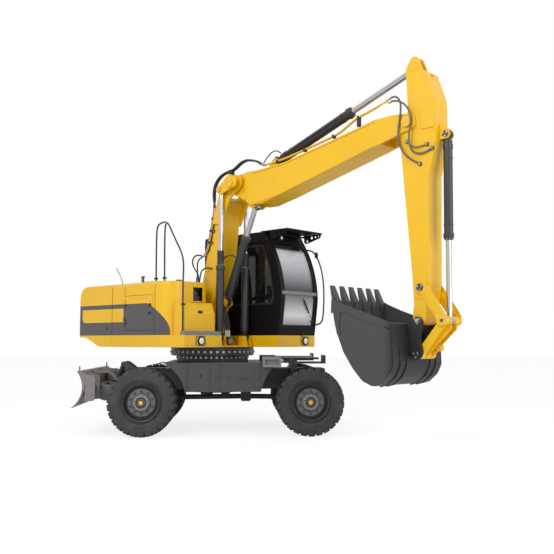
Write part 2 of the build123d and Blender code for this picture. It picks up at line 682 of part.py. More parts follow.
def cab_front_frame():
    """Bowed frame round the windscreen, with the bar between the two panes."""
    low, high = cab_right_y + cab_wall, cab_left_y - cab_wall
    trim = block((700, 1400), (low - 5, high + 5), (cab_floor_z + cab_floor_thick, cab_roof_z - cab_roof_thick))
    band = (cab_slab(0, low, high) - cab_slab(cab_wall, low - 5, high + 5)) & trim
    upper = block((700, 1400), (low + 50, high - 50), (2290, 3090))
    lower = block((1100, 1400), (low + 50, high - 50), (1730, 2230))
    return band - upper - lower


def cab_floor():
    return cab_slab(0, cab_right_y, cab_left_y) & block((-600, 1400), (0, 1400),
                                                        (cab_floor_z, cab_floor_z + cab_floor_thick))


def cab_roof():
    return cab_slab(0, cab_right_y, cab_left_y) & block((-600, 1400), (0, 1400),
                                                        (cab_roof_z - cab_roof_thick, cab_roof_z))


def cab_glass():
    """Fixed panes, each seated in its cut-out."""
    panes = []
    for kind, y in (("right", cab_right_y + cab_wall / 2), ("left_rear", cab_left_y - cab_wall / 2),
                    ("left_front", cab_left_y - cab_wall / 2)):
        panes.append(slab(window_rows(kind), y, glass_thick))
    panes.append(block((cab_rear_x + 20, cab_rear_x + 20 + glass_thick), (cab_right_y + 130, cab_left_y - 130),
                       (2180, 3050)))
    low, high = cab_right_y + cab_wall, cab_left_y - cab_wall
    curved = cab_slab(16, low + 50, high - 50) - cab_slab(16 + glass_thick, low, high)
    panes.append(curved & block((700, 1400), (low, high), (2290, 3090)))
    panes.append(curved & block((1100, 1400), (low, high), (1730, 2230)))
    return panes


def cab_door():
    gap = door_gap
    door = block((door_rear_x + gap, door_front_x - gap), (cab_left_y - cab_wall, cab_left_y),
                 (door_sill_z + gap, door_head_z - gap))
    door -= slab(window_rows("door"), cab_left_y - cab_wall / 2, cab_wall + 10)
    handle = block((door_front_x - 70, door_front_x - 30), (cab_left_y, cab_left_y + 30), (2330, 2430))
    hinges = hinge_halves(door_rear_x + gap / 2, cab_left_y, 1, cab_hinge_z)[0]
    return fuse(door, handle, hinges)


def cab_door_glass():
    return slab(window_rows("door"), cab_left_y - cab_wall / 2, glass_thick)


def cab_seat():
    middle = (cab_right_y + cab_left_y) / 2
    floor = cab_floor_z + cab_floor_thick
    base = block((0, 380), (middle - 190, middle + 190), (floor, floor + 330))
    cushion = slab([(-60, floor + 330, 20), (470, floor + 330, 30), (490, floor + 430, 50), (-60, floor + 440, 20)],
                   middle, 500)
    back = slab([(-120, floor + 440, 30), (0, floor + 440, 20), (-90, floor + 1130, 40), (-200, floor + 1120, 40)],
                middle, 470)
    arms = [slab([(-60, floor + 640, 10), (330, floor + 640, 20), (330, floor + 560, 20), (-60, floor + 560, 10)],
                 middle + side * 300, 90) for side in (-1, 1)]
    posts = [block((0, 60), (middle + side * 250 - 20, middle + side * 250 + 20), (floor + 380, floor + 600))
             for side in (-1, 1)]
    for side, post in zip((-1, 1), posts):
        post += block((0, 60), (min(side * 250, side * 300) + middle, max(side * 250, side * 300) + middle),
                      (floor + 560, floor + 600))
        arms.append(post)
    column = rod_between((898, middle, floor + 14), (790, middle, floor + 640), 36)
    column += block((840, 950), (middle - 60, middle + 60), (floor, floor + 40))
    wheel = Plane(origin=(790, middle, floor + 640), z_dir=(-110, 0, 640)) * Torus(170, 14)
    spoke = Plane(origin=(790, middle, floor + 640), z_dir=(-110, 0, 640)) * Box(330, 36, 18)
    sticks = [rod_z((290, middle + side * 300), floor + 640, floor + 790, 16) for side in (-1, 1)]
    seat = fuse(base, cushion, back, arms, sticks)
    return seat, fuse(column, wheel, spoke)


def roof_guard():
    low, high = cab_right_y + 20, cab_left_y - 20
    rows = [(600, cab_roof_z, 0), (960, cab_roof_z, 0), (1400, cab_roof_z + 10, 10), (1400, cab_roof_z + 60, 10),
            (960, cab_roof_z + 130, 40), (600, cab_roof_z + 70, 0)]
    cap = slab(rows, (low + high) / 2, high - low)
    cap -= block((980, 1330), (low + 60, high - 60), (cab_roof_z - 5, cab_roof_z + 160))
    bars = [block((980, 1330), (y - 10, y + 10), (cab_roof_z + 20, cab_roof_z + 50))
            for y in (low + 60 + i * (high - low - 120) / 6 for i in range(1, 6))]
    return fuse(cap, bars)


def lamps():
    """Work lamps under the visor and headlamps in the frame fronts: (x, y, z, radius, depth)."""
    table = [(1400, 400, cab_roof_z + 36, 34, 40), (1400, 1160, cab_roof_z + 36, 34, 40),
             (right_front_x, -920, 1470, 62, 30), (cab_front_x, 985, 1470, 62, 30)]
    lamps_out = []
    for x, y, z, radius, depth in table:
        on = Plane(origin=(x, y, z), x_dir=(0, 1, 0), z_dir=(1, 0, 0))
        body = on * Cylinder(radius, depth, align=(Align.CENTER, Align.CENTER, Align.MIN))
        lamps_out.append(fillet(body.edges().filter_by(GeomType.CIRCLE).sort_by(Axis.X)[-1:], 8))
    return lamps_out


def handrails():
    """Round bars: rail over the tank, rails beside it, and the mirror hoop at the cab's front corner."""
    r = 15.0
    hoop_y = cab_left_y + 42
    rails = [
        tube_path([(60, -1180, hood_top), (60, -1180, 2980), (160, -1180, 3060), (280, -1180, 2900), (380, -1180, 2640),
                   (400, -1180, 2330), (400, -1180, frame_top)], [120, 90, 90, 120, 120], r),
        tube_path([(-150, -1180, hood_top), (-150, -1180, 3040), (20, -1180, 3060)], [90], r),
        tube_path([(1000, cab_left_y, 3050), (1000, hoop_y, 3050), (1190, hoop_y, 3020), (1370, hoop_y, 2680),
                   (1400, hoop_y, 2270), (1365, hoop_y, 1790), (1180, hoop_y, 1740), (1180, cab_left_y, 1740)],
                  [25, 80, 200, 400, 60, 25], 12.0),
    ]
    return rails


# ---------------------------------------------------------------- boom and stick
def base_boom():
    x, z = foot_pin
    kx, kz = knuckle_pin
    rows = [(x - 125, z - 10, 90), (x, z - 125, 100), (x + 125, z, 90), (330, 2160, 300), (455, 3000, 0),
            (520, 3560, 60), (600, 3760, 20), (470, 3880, 30), (300, 3500, 0), (x - 20, 2160, 400)]
    body = slab(rows, boom_y, 2 * base_half)
    tx, tz = lift_eye
    plate_rows = [(tx - 115, tz - 90, 60), (tx + 60, tz - 200, 60), (kx + 150, kz - 30, 90), (kx + 150, kz + 110, 90),
                  (kx - 10, kz + 175, 90), (tx - 110, tz + 60, 60)]
    inner = base_half + side_gap
    thick = head_plate
    plates = [slab(plate_rows, boom_y + side * (inner + thick / 2), thick) for side in (-1, 1)]
    lower_rows = [(300, 3400, 40), (520, 3400, 40), (tx + 120, tz - 160, 40), (tx + 40, tz + 30, 40),
                  (tx - 120, tz - 40, 40)]
    roots = [slab(lower_rows, boom_y + side * (base_half + (side_gap + thick) / 2 - 0.5), side_gap + thick - 1)
             for side in (-1, 1)]
    cap_in = lift_offset + 38 + side_gap
    cap_rows = [(tx - 90, tz - 10, 60), (tx + 20, tz - 90, 60), (kx + 140, kz - 40, 60), (kx + 150, kz + 70, 60),
                (kx - 10, kz + 170, 80)]
    caps = [slab(cap_rows, boom_y + side * (cap_in + 12), 24) for side in (-1, 1)]
    pin = rod_y(knuckle_pin, boom_y - cap_in - 34, boom_y + cap_in + 34, 52)
    bosses = [rod_y(lift_eye, *sorted((boom_y + side * (inner + thick - 5),
                                       boom_y + side * (lift_offset - 38 - side_gap))), 46) for side in (-1, 1)]
    ax, az = adjust_foot
    ear_rows = [(ax - 160, az - 190, 0), (ax + 56, az - 62, 60), (ax + 62, az + 20, 60), (ax - 20, az + 66, 50),
                (ax - 140, az + 110, 0)]
    ears = ear_pair(adjust_ram, adjust_foot, ear_rows, 26, True)
    bore = rod_y(foot_pin, boom_y - base_half - 5, boom_y + base_half + 5, 55 + running_gap)
    body = fuse(body, ears, roots, plates, caps, pin, bosses)
    return body - bore


def outer_boom():
    kx, kz = knuckle_pin
    sx, sz = stick_pin
    rows = [(1046, 4180, 20), (1046, 3700, 40), (1180, 3636, 60), (1400, 3632, 0), (1750, 3710, 300),
            (3410, 4130, 0), (3990, 4276, 60), (sx + 130, sz - 90, 80), (sx + 110, sz + 100, 80), (3900, 4552, 0),
            (3560, 4545, 200), (3360, 4499, 0), (1885, 4210, 300), (1325, 4172, 0)]
    body = slab(rows, boom_y, 2 * outer_half)
    hub_rows = [(kx - 150, kz - 60, 120), (kx - 60, kz - 160, 120), (1080, 3720, 0), (1080, 4178, 20),
                (kx + 10, kz + 165, 120), (kx - 150, kz + 80, 120)]
    hub = slab(hub_rows, boom_y, 2 * hub_half)
    boss = rod_y(knuckle_pin, boom_y - outer_half, boom_y + outer_half, 92)
    slot = block((940, 1420), (boom_y - 92, boom_y + 92), (3500, 3900))
    ex, ez = adjust_eye
    cheeks = [slab([(ex - 60, ez - 20, 40), (ex + 30, ez - 60, 40), (ex + 130, 3640, 0), (ex + 60, 3760, 0),
                    (ex - 44, 3760, 0)], boom_y + side * (92 + 16), 32) for side in (-1, 1)]
    fx, fz = stick_ram_foot
    ear_rows = [(fx - 190, 4160, 0), (fx + 110, 4180, 0), (fx + 68, fz, 50), (fx, fz + 76, 60), (fx - 72, fz, 50)]
    ears = ear_pair(stick_ram, stick_ram_foot, ear_rows, 28, True)
    fork = rod_y(stick_pin, boom_y - stick_half - side_gap, boom_y + stick_half + side_gap, fork_depth)
    stick_axle = rod_y(stick_pin, boom_y - outer_half - 30, boom_y + outer_half + 30, 55)
    bore = rod_y(knuckle_pin, boom_y - outer_half - 5, boom_y + outer_half + 5, 52 + running_gap)
    body = fuse(body, hub, boss) - slot - bore - fork
    return fuse(body, cheeks, ears, stick_axle)


def stick():
    sx, sz = stick_pin
    qx, qz = stick_ram_eye
    bx, bz = bucket_pin
    rx, rz = rocker_pin
    rows = [(qx - 20, 5100, 0), (qx + 10, sz + 60, 200), (sx - 130, sz, 120), (3975, 4050, 200), (4130, 2300, 0),
            (4150, 1900, 0), (4330, 1900, 0), (4376, 2250, 60), (4400, 3670, 100), (4455, 3870, 120),
            (4506, 4130, 100), (4500, 4700, 60), (4360, 5100, 60)]
    body = slab(rows, boom_y, 2 * stick_half)
    nose = [(bx - 95, bz + 5, 80), (bx, bz - 95, 80), (bx + 95, bz + 5, 80), (4340, 1930, 0), (4140, 1930, 0)]
    tip = slab(nose, boom_y, 2 * stick_half)
    collar = rod_y(rocker_pin, boom_y - stick_half, boom_y + stick_half, 88)
    top_rows = [(qx - 90, qz, 70), (qx, qz - 160, 0), (4330, 5000, 0), (4200, 5330, 50), (qx + 30, 5350, 50)]
    ears = ear_pair(stick_ram, stick_ram_eye, top_rows, 30, False)
    px, pz = bucket_ram_foot
    foot_rows = [(4470, pz - 62, 0), (px + 30, pz - 62, 50), (px + 68, pz, 50), (px + 25, pz + 68, 50),
                 (4460, pz + 180, 0)]
    foot = ear_pair(bucket_ram, bucket_ram_foot, foot_rows, 26, True)
    slot = block((qx - 150, 4520), (boom_y - stick_ram.eye_half - side_gap, boom_y + stick_ram.eye_half + side_gap),
                 (5020, 5500))
    arm_pin = rod_y(rocker_pin, boom_y - stick_half - side_gap - rocker_plate - 12,
                    boom_y + stick_half + side_gap + rocker_plate + 12, 38)
    nose_pin = rod_y(bucket_pin, boom_y - stick_half - side_gap - 42, boom_y + stick_half + side_gap + 42, 38)
    bore = rod_y(stick_pin, boom_y - stick_half - 5, boom_y + stick_half + 5, 55 + running_gap)
    body = fuse(body, tip, collar) - slot - bore
    return fuse(body, ears, foot, arm_pin, nose_pin)


def link_plate(start, end, start_radius, end_radius, y_low, y_high):
    """Bar with two round ends."""
    line = Vector(end[0] - start[0], 0, end[1] - start[1])
    span = line.length
    on = Plane(origin=(start[0], y_low, start[1]), x_dir=line, z_dir=(0, 1, 0))
    waist = min(start_radius, end_radius) * 1.5
    bar = on * (Pos(span / 2, 0, (y_high - y_low) / 2) * Box(span, waist, y_high - y_low))
    return fuse(bar, rod_y(start, y_low, y_high, start_radius), rod_y(end, y_low, y_high, end_radius))


def rocker():
    """Two plates outside the stick, joined by the pin they share with the bucket link."""
    inner = stick_half + side_gap
    sides = []
    for side in (-1, 1):
        low, high = sorted((boom_y + side * inner, boom_y + side * (inner + rocker_plate)))
        arm = link_plate(rocker_pin, link_top_pin, 78, 66, low, high)
        arm -= rod_y(rocker_pin, low - 5, high + 5, 38 + running_gap)
        stub = rod_y(link_top_pin, *sorted((boom_y + side * (bucket_ram.eye_half + 2), boom_y + side * inner)), 34)
        sides.append(fuse(arm, stub))
    return sides


def bucket_link():
    """Cast link: two arms at the rocker's pin, joined at the bucket's pin, with a lifting eye."""
    in_y = bucket_ram.eye_half + 6
    arms = []
    for side in (-1, 1):
        low, high = sorted((boom_y + side * in_y, boom_y + side * (stick_half - side_gap)))
        arm = link_plate(link_top_pin, link_low_pin, 62, 62, low, high)
        arm -= rod_y(link_top_pin, low - 5, high + 5, 34 + running_gap)
        arms.append(arm)
    kx, kz = link_top_pin
    lx, lz = link_low_pin
    barrel = rod_y(link_low_pin, boom_y - stick_half + side_gap, boom_y + stick_half - side_gap, 62)
    mx, mz = lx + 0.36 * (kx - lx), lz + 0.36 * (kz - lz)
    web = rod_y((mx, mz), boom_y - in_y - 10, boom_y + in_y + 10, 44)
    eye = rod_y((mx + 95, mz - 70), boom_y - 18, boom_y + 18, 46)
    neck = rod_between((mx, boom_y, mz), (mx + 95, boom_y, mz - 70), 17)
    hole = rod_y((mx + 95, mz - 70), boom_y - 30, boom_y + 30, 24)
    return fuse(arms, barrel, web, eye, neck) - hole


def bucket():
    outer = [(3143, 2016, 0), (3120, 1900, 60), (3145, 1750, 300), (3190, 1580, 300), (3300, 1320, 300),
             (3456, 1100, 300), (3605, 945, 160), (3780, 872, 160), (3900, 905, 120), (4030, 1015, 120),
             (4098, 1150, 120), (4085, 1480, 200), (4060, 1700, 0)]
    t = bucket_shell
    rim = [(3143, 2016), (4060, 1700)]
    shell = slab(outer, boom_y, 2 * bucket_half)
    inner = [(3143 + 26, 2060, 0), (3120 + t + 10, 1900, 50), (3145 + t, 1755, 270), (3190 + t, 1590, 270),
             (3300 + t - 2, 1335, 270), (3456 + t - 6, 1118, 270), (3605 + t - 14, 968, 140), (3780, 872 + t, 140),
             (3892, 905 + t, 100), (4030 - t + 6, 1015 + t - 10, 100), (4098 - t, 1150, 100), (4085 - t, 1480, 190),
             (4060 - t, 1760, 0)]
    hollow = slab(inner, boom_y, 2 * (bucket_half - t))
    shell = shell - hollow
    ears = []
    ear_rows = [(4010, 1300, 0), (link_low_pin[0] + 30, link_low_pin[1] - 75, 60),
                (link_low_pin[0] + 78, link_low_pin[1] + 20, 60), (4250, 1500, 80),
                (bucket_pin[0] + 78, bucket_pin[1] - 20, 60), (bucket_pin[0] + 10, bucket_pin[1] + 80, 60),
                (bucket_pin[0] - 80, bucket_pin[1] + 10, 60), (4030, 1690, 0)]
    for side in (-1, 1):
        middle = boom_y + side * (stick_half + side_gap + 20)
        ears.append(slab(ear_rows, middle, 38))
    body = fuse(shell, ears)
    body -= rod_y(bucket_pin, boom_y - 300, boom_y + 300, 38 + running_gap)
    low_pin = [rod_y(link_low_pin, *sorted((boom_y + side * (stick_half + side_gap / 2), boom_y + side * 240)), 40)
               for side in (-1, 1)]
    teeth = []
    count = 6
    pitch = (2 * bucket_half - 150) / (count - 1)
    for i in range(count):
        y = boom_y - bucket_half + 75 + i * pitch
        teeth.append(slab([(3095, 1860, 0), (3160, 1840, 0), (3175, 2020, 0), (3070, 2235, 6), (3050, 2232, 6),
                           (3090, 2000, 20)], y, 90))
    cheeks = [slab([(3100, 1850, 0), (3400, 1860, 0), (3456, 1905, 0), (3200, 2010, 0), (3110, 2060, 20)],
                   boom_y + side * (bucket_half + 6), 14) for side in (-1, 1)]
    return fuse(body, low_pin, teeth, cheeks)


# ---------------------------------------------------------------- write every node
os.makedirs("parts", exist_ok=True)
for name, axle_x in (("front", front_axle_x), ("rear", rear_axle_x)):
    tyres = tyre_pair(axle_x)
    hub = wheel_hub(axle_x)
    write(f"tyres_{name}_right", tyres, slewed=False)
    write(f"tyres_{name}_left", [mirror(t, Plane.XZ) for t in tyres], slewed=False)
    write(f"hub_{name}_right", hub, slewed=False)
    write(f"hub_{name}_left", mirror(hub, Plane.XZ), slewed=False)
write("chassis_frame", chassis_frame(), slewed=False)
write("steps_and_guards", both_sides(steps()), slewed=False)
write("rear_axle", fuse(axle_centre(rear_axle_x, drum_in + 10), both_sides(spindle(rear_axle_x))), slewed=False)
write("front_axle", fuse(axle_centre(front_axle_x, yoke_back), both_sides(yoke(front_axle_x))), slewed=False)
write("knuckle_right", knuckle(front_axle_x), slewed=False)
write("knuckle_left", mirror(knuckle(front_axle_x), Plane.XZ), slewed=False)
write("driveline", driveline(), slewed=False)
write("dozer_blade", dozer_blade(), slewed=False)
write("blade_ram_barrels", [ram.barrel() for ram in blade_rams], slewed=False)
write("blade_ram_rods", [ram.rod() for ram in blade_rams], slewed=False)

write("upper_frame", upper_frame())
write("counterweight", counterweight())
write("engine_cover", engine_cover())
write("service_door", service_door())
write("engine_block", engine_block())
write("fuel_tank", tank())
write("toolbox", toolbox())
write("toolbox_lid", toolbox_lid())
write("cab_floor", cab_floor())
write("cab_side_walls", *cab_walls())
write("cab_rear_wall", cab_rear_wall())
write("cab_front_frame", cab_front_frame())
write("cab_roof", cab_roof())
write("cab_glass", cab_glass())
write("cab_door", cab_door())
write("cab_door_glass", cab_door_glass())
write("cab_seat", *cab_seat())
write("roof_guard", roof_guard())
write("lamps", lamps())
write("handrails", handrails())
write("base_boom", base_boom())
write("outer_boom", outer_boom())
write("stick", stick())
write("rocker", rocker())
write("bucket_link", bucket_link())
write("bucket", bucket())
write("lift_ram_barrels", [ram.barrel() for ram in lift_rams])
write("lift_ram_rods", [ram.rod() for ram in lift_rams])
for name, ram in (("adjust", adjust_ram), ("stick", stick_ram), ("bucket", bucket_ram)):
    write(f"{name}_ram_barrel", ram.barrel())
    write(f"{name}_ram_rod", ram.rod())
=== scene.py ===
import math

import bmesh
import bpy
from mathutils import Matrix, Vector


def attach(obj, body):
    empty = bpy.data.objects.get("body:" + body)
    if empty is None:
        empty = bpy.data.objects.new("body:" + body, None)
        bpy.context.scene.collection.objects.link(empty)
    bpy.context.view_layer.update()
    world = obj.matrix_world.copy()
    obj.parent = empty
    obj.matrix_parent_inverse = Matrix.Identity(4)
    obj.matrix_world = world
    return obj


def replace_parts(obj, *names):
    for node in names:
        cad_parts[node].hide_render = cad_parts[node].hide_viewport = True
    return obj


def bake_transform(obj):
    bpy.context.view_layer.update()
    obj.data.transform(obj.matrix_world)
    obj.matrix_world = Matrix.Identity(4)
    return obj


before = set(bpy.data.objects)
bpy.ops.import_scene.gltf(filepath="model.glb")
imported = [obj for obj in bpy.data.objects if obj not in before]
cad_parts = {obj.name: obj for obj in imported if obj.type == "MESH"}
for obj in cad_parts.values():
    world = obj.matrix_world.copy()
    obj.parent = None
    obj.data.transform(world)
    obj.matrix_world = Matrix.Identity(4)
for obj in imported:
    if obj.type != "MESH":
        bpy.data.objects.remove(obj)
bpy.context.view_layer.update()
scene = bpy.context.scene
print("frame loaded")

# the upper structure stands turned on its slew ring: its own x runs towards the bucket, y to its left
slewTurn = Matrix.Rotation(math.radians(-45), 4, "Z")
boomPlane = -0.08
axleHeight = 0.526
axleAt = {"front": 1.556, "rear": -1.044}


# ---- shader maths: one socket with the usual operators
class Flow:
    def __init__(self, tree, socket):
        self.tree = tree
        self.socket = socket

    def calc(self, operation, first, second):
        return addNode(self.tree, "ShaderNodeMath", {"operation": operation}, at0=first, at1=second)

    def most(self, other):
        return self.calc("MAXIMUM", self, other)

    def __add__(self, other): return self.calc("ADD", self, other)
    def __sub__(self, other): return self.calc("SUBTRACT", self, other)
    def __rsub__(self, other): return self.calc("SUBTRACT", other, self)
    def __mul__(self, other): return self.calc("MULTIPLY", self, other)
    def __pow__(self, other): return self.calc("POWER", self, other)
    def __gt__(self, other): return self.calc("GREATER_THAN", self, other)
    def __lt__(self, other): return self.calc("LESS_THAN", self, other)


def addNode(tree, kind, settings=None, out=0, **values):
    # at0, at1 and so on name a socket by its place, other keys by its label
    made = tree.nodes.new(kind)
    for key, value in (settings or {}).items():
        setattr(made, key, value)
    for key, value in values.items():
        join(tree, made.inputs[int(key[2:]) if key.startswith("at") else key.replace("_", " ")], value)
    return Flow(tree, made.outputs[out])


def join(tree, slot, value):
    if isinstance(value, Flow):
        tree.links.new(value.socket, slot)
    elif slot.type == "RGBA":
        slot.default_value = (*value[:3], 1)
    else:
        slot.default_value = value


def tone(red, green, blue):
    # screen values 0 to 255 as the shader's own linear colour
    return tuple(((c / 255 + 0.055) / 1.055) ** 2.4 if c > 10 else c / 255 / 12.92 for c in (red, green, blue))


# a material: fixed values sit on the shader's sockets, varying ones are joined to them
class Finish:
    def __init__(self, name, colour, rough, **fixed):
        self.material = bpy.data.materials.new(name)
        self.material.use_nodes = True
        self.tree = self.material.node_tree
        self.shader = self.tree.nodes["Principled BSDF"]
        self.shader.inputs["Base Color"].default_value = (*colour, 1)
        self.shader.inputs["Roughness"].default_value = rough
        for key, value in fixed.items():
            self.shader.inputs[key.replace("_", " ")].default_value = value

    def node(self, kind, settings=None, out=0, **values):
        return addNode(self.tree, kind, settings, out, **values)

    def drive(self, socket, value):
        join(self.tree, self.shader.inputs[socket], value)

    def colour(self, value):
        self.drive("Base Color", value)

    def laid(self):
        # the colour laid on so far
        return Flow(self.tree, self.shader.inputs["Base Color"].links[0].from_socket)

    def place(self, scale=(1, 1, 1), turn=0.0):
        where = self.node("ShaderNodeTexCoord", out=3)
        return self.node("ShaderNodeMapping", Vector=where, Scale=scale, Rotation=(0, 0, turn))

    def axes(self, turned=False):
        # x, y, z of a point; turned gives them along the upper structure
        where = self.place(turn=math.radians(45) if turned else 0.0)
        split = self.node("ShaderNodeSeparateXYZ", at0=where).socket.node
        return [Flow(self.tree, s) for s in split.outputs]

    def noise(self, scale, detail=3.0, stretch=(1, 1, 1)):
        where = self.place(stretch)
        return self.node("ShaderNodeTexNoise", Vector=where, Scale=scale, Detail=detail, Roughness=0.55)

    def ramp(self, value, low, high, start=0.0, end=1.0):
        return self.node("ShaderNodeMapRange", {"clamp": True}, Value=value, From_Min=low, From_Max=high,
            To_Min=start, To_Max=end)

    def mix(self, factor, first, second):
        return self.node("ShaderNodeMix", {"data_type": "RGBA"}, out=2, Factor=factor, at6=first, at7=second)

    def bump(self, height, strength, distance=0.01):
        self.drive("Normal", self.node("ShaderNodeBump", Height=height, Strength=strength, Distance=distance))


dustTone = tone(150, 140, 126)


def paint(name, colour, rough=0.36, coat=0.12, dust=0.0, grain=0.04):
    made = Finish(name, colour, rough, Coat_Weight=coat, Coat_Roughness=0.12)
    cloud = made.noise(1.7, 4.0)
    fine = made.noise(160.0, 2.0)
    base = made.mix(cloud, tuple(c * 0.88 for c in colour), colour)
    if dust:
        x, y, z = made.axes()
        low = made.ramp(z, 1.5, 0.2) * made.ramp(made.noise(9.0, 5.0), 0.42, 0.7) * dust
        base = made.mix(low, base, dustTone)
        made.drive("Roughness", low * 0.4 + rough + fine * 0.05)
    else:
        made.drive("Roughness", fine * 0.06 + cloud * 0.06 + rough - 0.05)
    made.colour(base)
    made.bump(fine, grain, 0.002)
    return made


bodyTone = tone(240, 187, 8)
paints = {
    "frameGrey": {"colour": (62, 61, 63), "rough": 0.5, "coat": 0.1, "dust": 0.06},
    "axleGrey": {"colour": (54, 53, 55), "rough": 0.55, "coat": 0.0, "dust": 0.15},
    "bladeGrey": {"colour": (118, 115, 115), "rough": 0.5, "coat": 0.1, "dust": 0.3},
    "bucketGrey": {"colour": (60, 60, 61), "rough": 0.5, "coat": 0.05, "grain": 0.1},
    "cabGrey": {"colour": (9, 9, 11), "rough": 0.5, "coat": 0.05},
    "roofBlack": {"colour": (14, 14, 16), "rough": 0.5, "coat": 0.05},
    "ramGrey": {"colour": (40, 40, 42), "rough": 0.45, "coat": 0.1},
    "rimBlack": {"colour": (19, 18, 19), "rough": 0.5, "coat": 0.1, "dust": 0.06},
    "hubGrey": {"colour": (108, 106, 107), "rough": 0.5, "coat": 0.1, "dust": 0.15},
    "railBlack": {"colour": (26, 26, 27), "rough": 0.35, "coat": 0.3},
    "plasticBlack": {"colour": (30, 30, 31), "rough": 0.55, "coat": 0.0, "grain": 0.3},
    "barGrey": {"colour": (120, 121, 125), "rough": 0.35, "coat": 0.3},
    "cabTrim": {"colour": (58, 58, 61), "rough": 0.7, "coat": 0.0, "grain": 0.3},
    "screenFace": {"colour": (44, 52, 60), "rough": 0.15, "coat": 0.5},
}
finishes = {"bodyYellow": paint("bodyYellow", bodyTone)}
for name, values in paints.items():
    finishes[name] = paint(name, **{**values, "colour": tone(*values["colour"])})


def makeRubber():
    made = Finish("tyreRubber", tone(48, 47, 47), 0.8)
    grime = made.ramp(made.noise(5.0, 6.0), 0.35, 0.75)
    base = made.mix(grime * 0.5, tone(46, 45, 46), tone(88, 85, 82))
    made.colour(base)
    made.drive("Roughness", grime * 0.1 + 0.72)
    made.bump(made.noise(70.0, 4.0), 0.25, 0.004)
    return made


def makeChrome():
    made = Finish("rodChrome", tone(214, 214, 218), 0.12, Metallic=1.0)
    streak = made.noise(60.0, 2.0, (1, 1, 0.15))
    made.drive("Roughness", streak * 0.12 + 0.06)
    made.colour(made.mix(streak, tone(168, 168, 172), tone(206, 206, 210)))
    return made


def makeSteel(name, colour, rough):
    made = Finish(name, colour, rough, Metallic=0.85)
    cloud = made.noise(24.0, 4.0)
    made.colour(made.mix(cloud, tuple(c * 0.7 for c in colour), colour))
    made.drive("Roughness", cloud * 0.2 + rough - 0.05)
    made.bump(made.noise(300.0, 2.0), 0.1, 0.002)
    return made


def makeGlass(name, colour, alpha):
    made = Finish(name, colour, 0.03, IOR=1.5, Specular_IOR_Level=0.9)
    smear = made.noise(2.5, 3.0)
    made.colour(made.mix(smear, tuple(c * 0.8 for c in colour), colour))
    made.drive("Alpha", smear * 0.08 + alpha)
    return made


def makeHose():
    made = Finish("hoseRubber", tone(36, 35, 36), 0.6)
    ribs = made.noise(220.0, 2.0)
    made.colour(made.mix(made.noise(6.0), tone(30, 29, 30), tone(62, 59, 56)))
    made.bump(ribs, 0.2, 0.002)
    return made


finishes["tyreRubber"] = makeRubber()
finishes["rodChrome"] = makeChrome()
finishes["bareSteel"] = makeSteel("bareSteel", tone(176, 176, 178), 0.34)
finishes["darkSteel"] = makeSteel("darkSteel", tone(96, 94, 94), 0.4)
finishes["boltSteel"] = makeSteel("boltSteel", tone(200, 200, 202), 0.3)
finishes["sideGlass"] = makeGlass("sideGlass", tone(20, 22, 24), 0.55)
finishes["hoseRubber"] = makeHose()


# the dark side band of the panels, with its yellow window, follows the upper structure's own x and z
band = {"tip": 0.267, "sweep": 0.479, "power": 2.8, "top": 2.078, "base": 1.56, "edge": 0.004, "outer": 1.1,
    "window": (-2.006, -0.822, 1.778, 2.006), "corner": 0.09}
# painted shade: the valve recess in the front is painted near black, given as x, y and z limits; the black
# outlet on the hood is given as x limits
recessShadeBox = ((0.2295, 0.3485), (-0.768, -0.552), (2.095, 2.345))
outletSpan, hoodTop = (-1.1, -0.74), 2.4215


def between(flow, span):
    return (flow > span[0]) * (flow < span[1])


def makePanel():
    made = paint("panelYellow", bodyTone)
    x, y, z = made.axes(turned=True)
    edge = band["edge"]
    # the front end bows forward as it comes down
    rise = made.ramp(z, band["base"], band["top"])
    front = band["tip"] - rise ** band["power"] * band["sweep"]
    inBand = made.ramp(front - x, 0.0, edge) * made.ramp(band["top"] - z, 0.0, edge)
    low, high, bottom, top = band["window"]
    corner = band["corner"]
    dx = (low + corner - x).most(0.0)
    dz = (bottom + corner - z).most(0.0)
    reach = (dx * dx + dz * dz) ** 0.5
    inWindow = made.ramp(corner - reach, 0.0, edge) * made.ramp(high - x, 0.0, edge) * made.ramp(top - z, 0.0,
        edge)
    outer = made.ramp(y * y, band["outer"] ** 2, (band["outer"] + 0.01) ** 2)
    mask = inBand * (1 - inWindow) * outer * made.ramp(z, band["base"], band["base"] + edge)
    side = made.mix(mask, made.laid(), tone(74, 71, 73))
    # painted shade: the inside of the valve recess is painted near black
    recess = between(x, recessShadeBox[0]) * between(y, recessShadeBox[1]) * between(z, recessShadeBox[2])
    outlet = (z > hoodTop) * between(x, outletSpan)
    made.colour(made.mix(recess.most(outlet), side, tone(24, 24, 25)))
    return made


# the windscreen's colour is painted reflection: the sky above its bar, the yard below it, and a dark band from
# the visor along its top
screenLevels = {"head": 3.14, "bar": 2.28, "foot": 1.73, "front": 0.9, "sides": (0.35, 1.215)}


def makeScreen():
    made = Finish("cabScreen", tone(120, 122, 126), 0.05, IOR=1.5)
    x, y, z = made.axes(turned=True)
    top, bar, foot, front = (screenLevels[key] for key in ("head", "bar", "foot", "front"))
    high = made.ramp(z, bar + 0.05, top - 0.25)
    low = made.ramp(z, foot + 0.16, foot)
    mid = made.ramp(z, foot + 0.18, bar)
    cloud = made.noise(1.3, 3.0, (1, 1, 2.2))
    # painted reflections: bright sky above the bar, the yard and a pale ground below it
    skyReflection = made.mix(high, tone(70, 72, 76), tone(232, 234, 238))
    yardReflection = made.mix(mid, made.mix(low, tone(250, 250, 251), tone(168, 168, 171)), tone(58, 58, 62))
    # painted reflection of the visor: a dark band along the top of the screen
    brow = made.ramp(z, top - 0.17, top - 0.12)
    reflection = made.mix(cloud * 0.3, made.mix(z > bar, yardReflection, skyReflection), tone(60, 62, 66))
    reflection = made.mix(brow, reflection, tone(38, 39, 42))
    ahead = made.ramp(x, front - 0.02, front + 0.02) * between(y, screenLevels["sides"])
    made.colour(made.mix(ahead, tone(20, 22, 24), reflection))
    made.drive("Alpha", ahead * 0.38 + 0.55)
    return made
